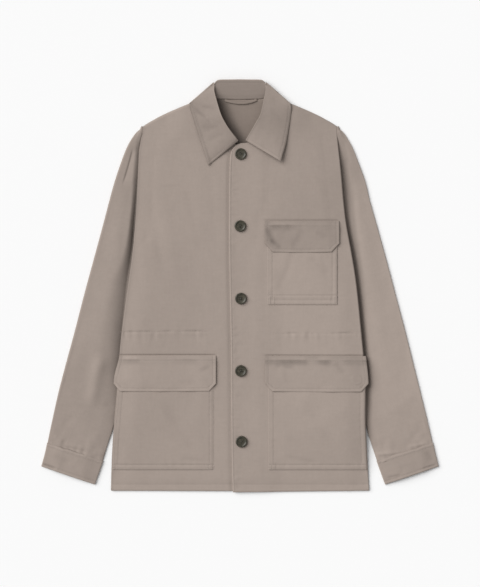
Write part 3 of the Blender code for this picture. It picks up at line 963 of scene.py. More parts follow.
@dataclass(frozen=True)
class Waist:
    """The drawcord channel inside the waist, which shows as a stitched line with small puckers."""

    y: float = -93
    drop: float = 40
    depth: float = 0.6
    pucker: float = 0.5

    def over(self, x: Array, y: Array) -> Array:
        """How far each place is over the stitched line, which wanders a little."""
        return y - self.y + 1.2 * drift(x, 0, *WAIST_DRIFT)

    def relief(self, x: Array, y: Array) -> Array:
        """Height that the channel adds.

        Args:
            x: places across.
            y: places along.

        Returns:
            The added height.
        """
        starts = smooth(56, 74, np.abs(x))
        line = self.over(x, y)
        groove = 0.25 * hump(line + 6, 4) - self.depth * self.broken(x) * hump(line, 1.9)
        below = smooth(3, -3, line) * smooth(-self.drop, -self.drop * 0.3, line)
        lean = x + line * 0.18 * drift(x, 0, 30, 12)
        fine = drift(lean, line * 0.12, 4.6, 13) + 0.6 * drift(lean, line * 0.08, 9, 14)
        near = hump(line, 9)
        patchy = 0.35 + 1.3 * smooth(-0.5, 0.6, drift(x, y, 17, 17))
        return starts * (groove + self.pucker * patchy * fine * (0.75 * below + 0.4 * near))

    @staticmethod
    def broken(x: Array) -> Array:
        """How far the stitched line is drawn in at each place across."""
        slow = smooth(-0.3, 0.45, drift(x, 0, 21, 15))
        return 0.15 + slow * (0.8 + 0.5 * drift(x, 0, 5, 16))

    def wear_and_shade(self, x: Array, y: Array) -> Array:
        """Painted shade along the channel's stitched line, where it is drawn in."""
        drawn = self.broken(x) * hump(self.over(x, y), 2)
        return -0.4 * smooth(56, 74, np.abs(x)) * drawn


@dataclass
class Front:
    """A front panel, from its shoulder seam to its hem and from its side to its front edge."""

    half: Half
    folds: tuple[Fold, ...]
    wall: float = 1.2
    plateau: float = 0.9
    edge_drop: float = 0.2
    side_round: float = 3
    grooves: tuple[Triple, ...] = ()
    hem_stitch: float = 12
    edge_seam: SeamLine = SeamLine(
        3, depth=0.3, ridge=0.3, width=1.1, pucker=0.3, pitch=3.4, seed=21
    )
    waist: Waist = Waist()
    flat: tuple[float, float] = (0.285, 0.795)

    @property
    def name(self) -> str:
        """The node that the panel stands for."""
        return "front_" + self.half.wearer

    @property
    def overlaps(self) -> bool:
        """Whether this is the front that lies on top."""
        return self.half is Half.VIEWER_RIGHT

    def inner_edge(self) -> Path:
        """The inner edge as rows of height on the side edge, x, y."""
        turn = -self.half.sign
        rows = [(s, turn * x, y) for s, x, y in NECK_LINE]
        rows += OVERLAP_EDGE if self.overlaps else UNDERLAP_EDGE
        lead = rows[-1][2] - rows[-1][0]
        drop = 3 if self.overlaps else 1
        for s in (162, 140, 116, 80, 40, 0, -60, -130, -200, -300, -360, -409.5):
            y = s + lead * float(smooth(-60, 180, s)) - drop * float(smooth(-300, -400, s))
            x = float(self.placket_x(y)) if self.overlaps else UNDERLAP_X
            rows.append((s, x, y))
        return rows

    def grooved(self, x: Array, y: Array, above: float, width: float) -> Array:
        """How far each place lies in the grooves over the flaps.

        Args:
            x: places across.
            y: places along.
            above: how far over the flap's top edge the groove's middle is.
            width: how wide the groove is.

        Returns:
            The depth, 1 in the middle of a groove.
        """
        total = np.zeros(np.broadcast(x, y).shape)
        for x0, x1, level in self.grooves:
            between = smooth(x0 - 3, x0 + 3, x) * smooth(x1 + 3, x1 - 3, x)
            total = total + between * hump(y - level - above, width)
        return total

    @staticmethod
    def placket_x(y: Array) -> Array:
        """x of the overlapping front edge at a height."""
        return read(PLACKET_EDGE, 1, y)

    def relief(self, x: Array, y: Array) -> Array:
        """What the cloth does over the plain solid.

        Args:
            x: places across.
            y: places along.

        Returns:
            The added height: lips at the side, folds, waist, hem and front edge.
        """
        inward = BODY_EDGE.reach(x, y) - np.abs(x)
        turned = 1 - np.clip(inward / self.side_round, 0, 1)
        body = smooth(10, 200, np.abs(x)) * smooth(-400, -215, y) * smooth(324, 215, y)
        height = (self.edge_drop + self.plateau * body) * np.sqrt(1 - turned**2)
        height = height - self.edge_drop - 1.5 * self.grooved(x, y, 1.3, 1.6)
        seed = 40 if self.overlaps else 30
        height += 0.6 * drift(x, y * 0.55, 85, seed) * smooth(0, 40, inward)
        height += 0.12 * drift(x, y, 26, seed + 1)
        height += add_folds(self.folds, x, y)
        height += self.waist.relief(x, y)
        height += self.hem_relief(x, y)
        past = x - self.placket_x(y)
        if not self.overlaps:
            return height - 1.3 * hump(past + 1.6, 3.4) * smooth(285, 262, y)
        height += 0.6 * hump(past, 10) + self.edge_seam.relief(past, y)
        height += 0.45 * drift(x * 0.16, y, 4.2, 45) * hump(past - 11, 7)
        return height - 0.2 * hump(x - 49, 1.6)

    def hem_relief(self, x: Array, y: Array) -> Array:
        """The turned hem: a little thicker below its stitched line, with slack pulled up to it."""
        up = y - HEM_Y
        line = -0.3 * hump(up - self.hem_stitch, 1.3)
        wave = drift(x, y * 0.1, 9, 51)
        return line + 0.3 * smooth(14, 10, up) + 0.2 * wave * hump(up - self.hem_stitch, 6)

    def mid(self, x: Array, y: Array) -> Array:
        """Middle of the cloth."""
        return LAYERS.front_mid(self.half, x, y) + self.relief(x, y)

    def top(self, x: Array, y: Array) -> Array:
        """Upper face of the cloth."""
        return self.mid(x, y) + self.wall / 2

    def wear_and_shade(self, x: Array, y: Array) -> Array:
        """Painted shade of the panel, 0.5 where it has none, with a paler hem edge."""
        # Painted shade in the waist channel's stitched line and in the hem's stitched line.
        level = 0.5 + self.waist.wear_and_shade(x, y) - 0.2 * hump(y - HEM_Y - self.hem_stitch, 1.6)
        # Paler along the hem's turned edge.
        level = level + 0.15 * smooth(15, 9, y - HEM_Y)
        # Painted shade in the grooves over the flaps.
        level = level - 0.25 * self.grooved(x, y, 1.2, 1.5)
        if not self.overlaps:
            # Painted shade along the viewer-left front's side edge, which faces the sun.
            return level - 0.55 * hump(BODY_EDGE.reach(x, y) - np.abs(x), 3.5)
        # Paler rubbing on the placket seam's ridge and painted shade in its groove.
        level = level + self.edge_seam.wear_and_shade(x - self.placket_x(y))
        # Darker over the upper chest of the viewer-right front.
        return level - 0.28 * smooth(60, 120, y) * smooth(40, 110, x)

    def grid(self) -> tuple[Array, Array]:
        """Lays out the panel.

        Returns:
            The grid of points, and the painted shade at each.
        """
        table = self.inner_edge()
        fine = (
            (-SHOULDER_Y, 4, 1.2), (-197, 18, 1.6), (-107, 24, 1.4), (93, 8, 1.2),
            (139.5, 4, 1), (396, 5, 1.4), (409.5, 3, 0.9),
        )
        levels = -stops(-SHOULDER_Y, 409.5, 3.2, fine)
        width = 236
        across = stops(0, width, 3.1, ((0, 4, 0.6), (width, 12, 1.1))) / width
        s = levels[:, None]
        u = across[None, :]
        x_end, y_end = read(table, 1, s), read(table, 2, s)
        x_start = BODY_EDGE.at(self.half, s)
        x = x_start + (x_end - x_start) * u
        bow = 5 * smooth(255, SHOULDER_Y, s)
        y = s + (y_end - s) * u + bow * np.sin(np.pi * u**0.8) * (1 - u * 0.4)
        z = self.mid(x, y)
        shoulder = np.minimum(SHOULDER_Y - s, 60) + u * 0
        z = z - 1.2 * hump(shoulder, 2.6) - 0.7 * hump(y - y[-1:, :], 1.4)
        return np.stack([x, y, z], axis=-1), self.wear_and_shade(x, y)

    def build(self) -> bpy.types.Object:
        """Makes the panel and logs its cut area."""
        cloth = Cloth.from_grid(*self.grid())
        piece = cloth.shell(self.name + "_cloth", self.wall, CLOTH.material())
        dress(piece, Slot.TWILL, self.name)
        threads = [dress(self.stitches(), Slot.TWILL)]
        min(cloth.area(), math.prod(self.flat))
        LOG.info("%s: cut area %.3f m2", self.name, cloth.area())
        return piece

    def stitches(self) -> bpy.types.Object:
        """Sews the hem, the waist channel and, on the overlapping front, its edge.

        Returns:
            The stitch piece.
        """
        sign = self.half.sign
        start = -18 if self.overlaps else UNDERLAP_X
        xs = np.linspace(start, sign * 254, 90)
        paths = [self.lay(xs, xs * 0 + HEM_Y + self.hem_stitch)]
        waist = np.linspace(sign * 66, sign * 238, 80)
        paths.append(self.lay(waist, -self.waist.over(waist, waist * 0)))
        if self.overlaps:
            ys = np.linspace(268, HEM_Y + 4, 180)
            paths.append(self.lay(self.placket_x(ys) + self.edge_seam.inset, ys))
        return TOPSTITCH.rows(self.name + "_stitches", paths, SEAM_THREAD.material())

    def lay(self, x: Array, y: Array) -> Path:
        """A line on the panel's upper face."""
        return list(zip(x, y, self.top(x, y) + STITCH_LIFT))


LEFT_FOLDS = (
    Fold(-176, 191, -148, 21, -0.5, 9, 4),
    Fold(-150, 171, -122, -9, 0.45, 13, 3),
    Fold(-108, 201, -76, 47, -0.42, 8, -3),
    Fold(-92, 150, -62, -20, 0.35, 12),
    Fold(-198, 150, -182, -30, 0.3, 10, 3),
    Fold(-58, 236, -44, 60, -0.25, 9),
    Fold(-162, 203, -116, 204, 0.25, 3.5),
    Fold(-120, 330, -150, 215, 0.25, 14, 6),
)
RIGHT_FOLDS = (
    Fold(60, 290, 57, 142, -0.35, 8),
    Fold(40, 152, 37, 84, -0.5, 9),
    Fold(90, 236, 84, 140, 0.3, 10, 3),
    Fold(140, 250, 168, 140, 0.3, 13, -4),
    Fold(212, 66, 208, -70, 0.3, 9, -3),
    Fold(120, -44, 190, -80, 0.25, 9),
    Fold(30, 60, 36, -140, 0.2, 10, 2),
)


@dataclass
class Back:
    """The back panel; its inner face shows inside the neck."""

    wall: float = 1.2
    hem_stitch: float = 12
    half_width: float = 192.5
    side_top: float = 317
    flat: tuple[float, float] = (0.514, 0.784)

    def mid(self, x: Array, y: Array) -> Array:
        """Middle of the back's cloth, drawn down into the neck seam."""
        seam = hump(y - 370.4, 1.8) * smooth(66, 56, np.abs(x))
        return LAYERS.back_under(x, y) + LAYERS.wall / 2 - 1 * seam

    def top(self, x: Array, y: Array) -> Array:
        """Inner face of the back."""
        return self.mid(x, y) + self.wall / 2

    def grid(self) -> tuple[Array, Array]:
        """Lays out the panel.

        Returns:
            The grid of points, and the painted shade at each.
        """
        side, top = self.half_width, self.side_top
        fine = ((-top, 45, 2.2), (-92, 14, 2.2), (310, 30, 3.6), (407.5, 4, 1.4))
        row = -stops(-top, 407.5, 5, fine)[:, None]
        fine = ((-side, 4, 1.4), (-24, 36, 2.2), (side, 4, 1.4))
        top_x = stops(-side, side, 4.2, fine)[None, :]
        top_y = read(BACK_TOP, 1, np.abs(top_x))
        blend = smooth(190, top, row)
        left = BODY_EDGE.at(Half.VIEWER_LEFT, row) + 0.5
        right = BODY_EDGE.at(Half.VIEWER_RIGHT, row) - 0.5
        straight = left + (right - left) * (top_x + side) / (2 * side)
        x = straight + (top_x - straight) * blend
        y = row + (top_y - top) * blend
        # Painted shade in the hem's stitched line.
        wear_and_shade = 0.5 - 0.2 * hump(y - HEM_Y - self.hem_stitch, 2.5)
        # Painted shadow: a dark band on the back's inner face beside the viewer-left collar roll,
        # where the roll's shadow falls inside the neck.
        roll = [(station[3], station[2]) for station in COLLAR_FRONT[Half.VIEWER_LEFT]]
        beside = x - read(roll, 1, y)
        wear_and_shade = wear_and_shade - 1.6 * smooth(32, 8, beside) * smooth(-14, -6, beside)
        return np.stack([x, y, self.mid(x, y)], axis=-1), wear_and_shade

    def build(self) -> bpy.types.Object:
        """Makes the panel and logs its cut area."""
        cloth = Cloth.from_grid(*self.grid())
        piece = cloth.shell("back_cloth", self.wall, INNER_FACE.material(), CLOTH.material())
        dress(piece, Slot.INSIDE, "back")
        loop = HangerLoop(self).build()
        min(cloth.area(), math.prod(self.flat))
        LOG.info("back: cut area %.3f m2", cloth.area())
        return piece


@dataclass
class HangerLoop:
    """The narrow strap inside the back neck."""

    back: Back
    width: float = 4.4
    wall: float = 1.1
    rise: float = 1

    def build(self) -> bpy.types.Object:
        """Makes the strap along its path, lifted a little between its ends."""
        steps = np.linspace(0, len(LOOP_PATH) - 1, 60)
        x, y = (read_by_row(LOOP_PATH, column, steps) for column in (0, 1))
        dx, dy = np.gradient(x), np.gradient(y)
        length = np.hypot(dx, dy)
        share = np.linspace(-0.5, 0.5, 6)[None, :]
        px = x[:, None] - (dy / length)[:, None] * self.width * share
        py = y[:, None] + (dx / length)[:, None] * self.width * share
        lift = self.rise * np.sin(np.pi * steps / steps[-1])[:, None] ** 0.6
        crown = 0.25 * (1 - (2 * share) ** 2)
        pz = self.back.top(px, py) + 0.35 + self.wall / 2 + lift + crown
        cloth = Cloth.from_grid(np.stack([px, py, pz], axis=-1), np.full(px.shape, 0.5))
        piece = cloth.shell("hanger_loop_cloth", self.wall, INNER_FACE.material(90))
        return dress(piece, Slot.TWILL, "hanger_loop")


# --- sleeves and cuffs ---


@dataclass
class Sleeve:
    """A sleeve: open along the armhole at its head, a flattened tube from the underarm down."""

    half: Half
    folds: tuple[Fold, ...]
    swell: Rows
    fold_out: float
    # Painted light over the whole sleeve: positive lightens it, negative darkens it as painted
    # shade.
    painted_sleeve_light: float
    # Painted light on the outer fold where positive, painted shade where negative.
    painted_fold_light: float
    wall: float = 1.2
    fold_in: float = 0.8
    tuck: float = 5
    upper_columns: int = 56
    flat: tuple[float, float] = (0.26, 0.688)

    @property
    def name(self) -> str:
        """The node that the sleeve stands for."""
        return "sleeve_" + self.half.wearer

    def ends(self, t: float) -> tuple[float, float, float, float]:
        """The ends of a row.

        Args:
            t: the row, as a place in SLEEVE_ROWS.

        Returns:
            x and y at the outer fold, then x and y at the inner edge.
        """
        beyond = max(0, t - LAST_ROW) * ROW_PITCH
        above = max(0, -t)
        y_out = float(read_by_row(SLEEVE_ROWS, 0, t)) - beyond + 9.3 * above
        y_in = float(read_by_row(SLEEVE_ROWS, 1, t)) - beyond + 11 * above
        x_out = float(SLEEVE_OUTER.at(self.half, y_out)) - self.half.sign * 4.5 * above
        if t < UNDERARM_ROW:
            x_in = float(BODY_EDGE.at(self.half, y_in)) + self.half.sign * 1
        else:
            x_in = float(SLEEVE_INNER.at(self.half, y_in))
        return x_out, y_out, x_in, y_in

    def section(self, t: float) -> tuple[Array, Array]:
        """One row of the sleeve.

        Args:
            t: the row, as a place in SLEEVE_ROWS.

        Returns:
            Its points from the upper inner end over the outer fold to the lower inner end, and the
            painted light and shade at each.
        """
        x_out, y_out, x_in, y_in = self.ends(t)
        tucked = float(smooth(LAST_ROW - 0.02, LAST_ROW + 0.06, t))
        inset = 1.3 * tucked
        width = math.hypot(x_out - x_in, y_out - y_in)
        ux, uy = (x_out - x_in) / width, (y_out - y_in) / width
        low = self.wall / 2 + 1.35 * tucked
        r_in = max(0.7, self.fold_in * min(1, width / 12))
        fold_out = self.fold_out + (1.2 - self.fold_out) * float(smooth(-150, -300, y_out))
        r_out = max(0.7, fold_out * min(1, width / 26)) - 0.3 * inset
        cap = 1 - float(smooth(UNDERARM_ROW - 0.9, UNDERARM_ROW - 0.05, t))
        base = 2 * r_in * (1 - cap) + 1.4 * cap
        tongue = 5 * float(smooth(104, 122, y_in)) * min(1, width / 8)
        start, end = r_in * (1 - cap), width - r_out
        share = np.linspace(0, 1, self.upper_columns)
        upper = start + (end - start) * (share - 0.075 * np.sin(2 * np.pi * share))
        covered = 0
        if t >= UNDERARM_ROW:
            edge = abs(float(BODY_EDGE.at(self.half, y_in)))
            covered = max(0, (edge - abs(x_in)) * 1.05 + 1)
        x, y = x_in + ux * upper, y_in + uy * upper
        slot, reach, depth, power, shade, far = (
            float(read(self.swell, column, y_in)) for column in range(1, 7)
        )
        depth *= min(1, width / 9)
        climb = 1 - np.clip((upper - covered - slot) / reach, 0, 1)
        rise = base + depth * (1 - climb**power)
        outer = smooth(0, min(80, width * 0.6), width - upper)
        full = rise * outer + 2 * r_out * (1 - outer)
        free = smooth(covered - 2, covered + 6, upper) * smooth(0, 8, width - upper)
        relief = self.relief(x, y, upper, t) * free * float(smooth(-0.5, 0.8, t))
        first, first_z = fold_arc(r_in, 180, 150, 120)
        round_out, round_z = fold_arc(r_out, 60, 30, 0, -30, -60)
        final, final_z = fold_arc(r_in, 225)
        lower = np.array([1, 0.85, 0.7, 0.55, 0.4, 0.25, 0.1, 0])
        drawn_in = tongue * np.array([1, 0.65, 0.3]) * cap
        s = np.concatenate([
            (r_in + first) * (1 - cap) - drawn_in + inset,
            upper,
            end + round_out - inset,
            start + (end - start) * lower,
            r_in + final + inset,
        ])
        z = low + np.concatenate([
            first_z * (1 - cap) + base * cap,
            full + relief - 0.9 * tucked,
            round_z,
            np.zeros(len(lower)),
            final_z,
        ])
        # Painted light over the viewer-right sleeve's middle, fading out towards its head and its
        # cuff.
        painted_sleeve_light = self.painted_sleeve_light
        if self.half is Half.VIEWER_RIGHT:
            painted_sleeve_light *= float(smooth(235, 150, y_in) * smooth(-330, -215, y_in))
        # Painted shade in the valley beside the body, where the painted sleeve light also gives
        # way.
        wear_and_shade = 0.5 + painted_sleeve_light - (shade + painted_sleeve_light) * smooth(far, 0, s - covered - slot)
        # The outer fold's turn takes its painted light; a negative value paints shade.
        wear_and_shade[3 + self.upper_columns:8 + self.upper_columns] += self.painted_fold_light
        return np.stack([x_in + ux * s, y_in + uy * s, z], axis=-1), wear_and_shade

    def relief(self, x: Array, y: Array, s: Array, t: float) -> Array:
        """What the upper layer does over its plain form.

        Args:
            x: places across.
            y: places along.
            s: distance from the inner edge.
            t: the row.

        Returns:
            The added height.
        """
        seed = 60 if self.half is Half.VIEWER_LEFT else 70
        height = 0.5 * drift(x, y * 0.4, 60, seed) + 0.15 * drift(x, y, 22, seed + 1)
        height = height + add_folds(self.folds, x, y)
        down = float(np.clip((LAST_ROW - t) * ROW_PITCH, 0, 90))
        gather = 0.7 * drift(s, down * 0.2, 7, seed + 2) * float(hump(down, 16))
        rumple = 0.55 * drift(x, y, 12, seed + 3) * float(hump(down - 18, 24))
        return height + gather + rumple

    def rows(self) -> Array:
        """Where the rows lie, with one exactly at the underarm."""
        head = stops(-1, UNDERARM_ROW, 0.125, ((-1, 1, 0.09), (UNDERARM_ROW, 0.6, 0.09)))
        tuck = LAST_ROW + self.tuck / ROW_PITCH
        tube = stops(UNDERARM_ROW, tuck, 0.085, ((LAST_ROW, 0.5, 0.035),))
        return np.concatenate([head, tube[1:]])

    def build(self) -> bpy.types.Object:
        """Makes the sleeve and logs its cut area, all round the tube."""
        rows = self.rows()
        made = [self.section(float(t)) for t in rows]
        grid, wear_and_shade = np.stack([m[0] for m in made]), np.stack([m[1] for m in made])
        closed = int(np.argmin(np.abs(rows - UNDERARM_ROW)))
        cloth = Cloth.from_grid(grid, wear_and_shade, closed)
        grain = CLOTH.material(-SLEEVE_SLANT * self.half.sign)
        piece = dress(cloth.shell(self.name + "_cloth", self.wall, grain), Slot.TWILL, self.name)
        min(cloth.area(), math.prod(self.flat))
        LOG.info("%s: cut area %.3f m2", self.name, cloth.area())
        return piece


# Upper layer beside the body: height, flat strip, how far the rise reaches, its height, its power,
# how much painted shade darkens the cloth in the valley, and how far that painted shade reaches.
LEFT_SWELL = (
    (317, -3, 3, 2.2, 2, 0.5, 10),
    (300, -2, 3, 2.4, 2, 0.5, 10),
    (271, 1, 7, 3.4, 2, 0.6, 12),
    (240, 1, 10, 4.6, 2, 0.5, 12),
    (215, 1, 10, 5, 2, 0.8, 12),
    (171, 2, 8, 6, 2, 1.3, 12),
    (130, 3, 8, 7.4, 2, 1.4, 12),
    (100, 3, 10, 8.6, 2.2, 1.4, 14),
    (51, 3, 18, 9, 2.5, 1.2, 18),
    (0, 3, 34, 9.2, 2.5, 0.8, 26),
    (-60, 1, 40, 9.6, 2.5, 0.7, 26),
    (-109, 0, 44, 9.8, 2.6, 0.9, 26),
    (-160, 0, 42, 7.8, 2.4, 0.8, 26),
    (-200, 0, 38, 6, 2.2, 0.5, 26),
    (-249, 0, 30, 3.8, 2, 0.3, 26),
    (-290, 0, 28, 3.2, 2, 0.1, 26),
    (-351, 0, 34, 2.8, 2, 0, 26),
)
RIGHT_SWELL = (
    (317, -3, 3, 2.2, 2, 0.5, 10),
    (300, -2, 3, 2.4, 2, 0.8, 12),
    (271, 2, 10, 2.8, 1.6, 1, 14),
    (240, 4, 14, 3.4, 1.6, 1.3, 18),
    (200, 5, 16, 4.2, 1.6, 1.4, 20),
    (171, 5, 14, 4.6, 1.8, 1.4, 22),
    (111, 4, 9, 5.2, 2, 1.5, 18),
    (51, 4, 9, 5.2, 2, 1.5, 16),
    (-29, 4, 9, 5.3, 2, 1.5, 14),
    (-109, 4, 10, 5.2, 2, 1.5, 12),
    (-189, 4, 10, 4.8, 2, 1.3, 14),
    (-235, 4, 14, 4, 2, 1, 14),
    (-255, 3, 16, 3.6, 2, 0.7, 14),
    (-285, 0, 22, 3.2, 2, 0.3, 14),
    (-351, 0, 34, 2.8, 2, 0, 14),
)
LEFT_SLEEVE_FOLDS = (
    Fold(-198, 296, -206, 264, -0.9, 4, 1),
    Fold(-213, 272, -233, 201, -1.5, 4, -1, 0.3, -0.65),
    Fold(-208, 240, -222, 190, 0.3, 5, -2),
    Fold(-274, -136, -295, -246, 3.2, 13, 1),
    Fold(-240, -250, -272, -236, -0.5, 6),
    Fold(-330, -262, -352, -280, -0.5, 8),
    Fold(-300, -60, -330, -210, 0.5, 12, 3),
    Fold(-262, -150, -318, -215, 0.4, 10, 4),
    Fold(-345, -205, -300, -262, 0.4, 9, 3),
    Fold(-352, -322, -304, -333, -1.1, 3.2, -1),
    Fold(-318, -338, -292, -342, 0.8, 4),
    Fold(-372, -300, -352, -312, 0.6, 5),
    Fold(-340, -282, -300, -302, -0.5, 9, 3),
)
RIGHT_SLEEVE_FOLDS = (
    Fold(206, 290, 218, 236, -0.6, 5, -2),
    Fold(224, 214, 226, 140, -0.5, 8, -2),
    Fold(300, -254, 350, -270, -0.4, 6),
    Fold(236, 60, 262, -60, 0.4, 11, 4),
    Fold(300, -20, 322, -160, 0.4, 12, -3),
    Fold(262, -140, 316, -190, 0.4, 11, -4),
    Fold(352, -215, 300, -250, 0.4, 9, -3),
    Fold(270, -337, 324, -331, 1.1, 3.6, 1),
    Fold(334, -322, 374, -313, 0.8, 3.2, 1),
    Fold(270, -320, 292, -316, -0.6, 6),
    Fold(366, -262, 386, -318, 0.4, 4),
)


@dataclass
class Cuff:
    """A cuff band: a flattened ring, a little fuller than the sleeve that it ends."""

    half: Half
    folds: tuple[Fold, ...]
    deep: float = 46.5
    wall: float = 1.5
    fold: float = 1.3
    puff: float = 2.7
    reach: float = 2.2
    upper_columns: int = 44
    edge_seam: SeamLine = SeamLine(
        6, depth=0.22, ridge=0.12, width=1.2, pucker=0.2, pitch=4, seed=81
    )
    flat: tuple[float, float] = (0.25, 0.05)

    @property
    def name(self) -> str:
        """The node that the cuff stands for."""
        return "cuff_" + self.half.wearer

    def section(self, down: float) -> tuple[Array, Array, Array]:
        """One ring of the cuff.

        Args:
            down: distance below the sleeve seam, along the cuff.

        Returns:
            The ring's points, the upper layer's points alone, and the ring's painted shade and
            light.
        """
        depth = np.array([0, 0.48, 1]) * self.deep
        y_out, y_in = (
            float(np.interp(down, depth, heights)) - 0.97 * min(0, down)
            for heights in zip(*CUFF_ROWS)
        )
        sign, fold = self.half.sign, self.fold
        x_out = float(SLEEVE_OUTER.at(self.half, y_out)) + sign * 0.8
        x_in = float(SLEEVE_INNER.at(self.half, y_in)) - sign * 0.6
        width = math.hypot(x_out - x_in, y_out - y_in)
        ux, uy = (x_out - x_in) / width, (y_out - y_in) / width
        upper = np.linspace(fold, width - fold, self.upper_columns)
        swell = smooth(0, 34, upper) * smooth(0, 34, width - upper)
        from_seam, to_edge = down + self.reach, self.deep - down
        seams = self.edge_seam.relief(np.full_like(upper, from_seam), upper)
        seams = seams + self.edge_seam.relief(np.full_like(upper, to_edge), upper + 300)
        ripple = 0.3 * drift(upper, down * 0.5, 24, 83) + 0.16 * drift(upper, down, 9, 87)
        edge = -0.4 * float(hump(from_seam, 1.6) + hump(to_edge, 1.2))
        dents = add_folds(self.folds, x_in + ux * upper, y_in + uy * upper)
        first, first_z = fold_arc(fold, 180, 150, 120)
        round_out, round_z = fold_arc(fold, 60, 30, 0, -30, -60)
        final, final_z = fold_arc(fold, 225)
        lower = np.array([1, 0.8, 0.6, 0.4, 0.2, 0])
        s = np.concatenate([
            fold + first,
            upper,
            width - fold + round_out,
            fold + (width - 2 * fold) * lower,
            fold + final,
            fold + first[:1],
        ])
        z = self.wall / 2 + np.concatenate([
            first_z,
            2 * fold + self.puff * swell + seams + ripple * swell + edge + dents,
            round_z,
            np.zeros(len(lower)),
            final_z,
            first_z[:1],
        ])
        up = sign * 0.9 * drift(s, 0, 9, 84) * float(smooth(8, -2, down))
        ring = np.stack([x_in + ux * s - uy * up, y_in + uy * s + ux * up, z], axis=-1)
        on_top = slice(3, 3 + self.upper_columns)
        # Darker all over than the sleeve, with slow random unevenness.
        wear_and_shade = 0.32 + 0.1 * drift(s, down, 22, 85)
        uneven = 0.4 + 1.2 * smooth(-0.4, 0.5, drift(upper, 0, 20, 86 + int(sign)))
        # Paler rubbing on the seams' ridges and painted shade in their grooves.
        wear_and_shade[on_top] += self.edge_seam.wear_and_shade(np.array([from_seam, to_edge])).sum()
        # Painted shade along the sleeve seam where it is drawn in.
        wear_and_shade[on_top] -= 0.5 * uneven * float(hump(from_seam, 1.4))
        # Painted shade in the dents' troughs.
        wear_and_shade[on_top] += 0.7 * np.minimum(0, dents)
        outer = slice(3 + self.upper_columns, 8 + self.upper_columns)
        # Painted light on the turn that faces away from the sun.
        wear_and_shade[outer if self.half is Half.VIEWER_RIGHT else slice(0, 3)] += 0.7
        return ring, ring[on_top], wear_and_shade

    def build(self) -> bpy.types.Object:
        """Makes the cuff and logs its cut area, all round."""
        fine = ((-self.reach, 12, 1), (self.deep, 10, 1))
        rings = [self.section(float(d)) for d in stops(-self.reach, self.deep, 2.6, fine)]
        grid = np.stack([r[0] for r in rings])
        wear_and_shade = np.stack([r[2] for r in rings])
        cloth = Cloth.from_grid(grid, wear_and_shade, 0)
        grain = CLOTH.material(90 - SLEEVE_SLANT * self.half.sign)
        piece = dress(cloth.shell(self.name + "_cloth", self.wall, grain), Slot.TWILL, self.name)
        lift = np.array([0, 0, self.wall / 2 + STITCH_LIFT])
        paths = []
        for down in (self.edge_seam.inset - self.reach, self.deep - self.edge_seam.inset):
            paths.append([tuple(p) for p in self.section(down)[1] + lift])
        thread = TOPSTITCH.rows(self.name + "_stitches", paths, SEAM_THREAD.material())
        dress(thread, Slot.TWILL)
        min(cloth.area(), math.prod(self.flat))
        LOG.info("%s: cut area %.4f m2", self.name, cloth.area())
        return piece


CUFF_FOLDS = {
    Half.VIEWER_LEFT: (
        Fold(-393, -356.5, -368, -364.5, -0.9, 2.6),
        Fold(-340, -352, -300, -372, 0.4, 7, 2),
        Fold(-372, -338, -340, -352, -0.3, 8),
    ),
    Half.VIEWER_RIGHT: (
        Fold(364, -365.5, 392, -357.5, -0.6, 2.4),
        Fold(294, -384, 322, -377, -0.6, 2.6),
        Fold(300, -358, 350, -350, 0.3, 7, 2),
        Fold(372, -330, 384, -352, -0.4, 6),
    ),
}


# --- patch pockets and flaps ---


@dataclass(frozen=True)
class SideEdge:
    """A side of a patch: upright at x, or along the side of the body."""

    x: float = 0
    half: Optional[Half] = None
    inset: float = 0
    flare: float = 0

    def at(self, y: Array) -> Array:
        """x of the side at a height."""
        if self.half is None:
            return np.asarray(y) * 0 + self.x
        inward = self.inset - self.flare * smooth(-138, -188, y)
        return BODY_EDGE.at(self.half, y) - self.half.sign * inward


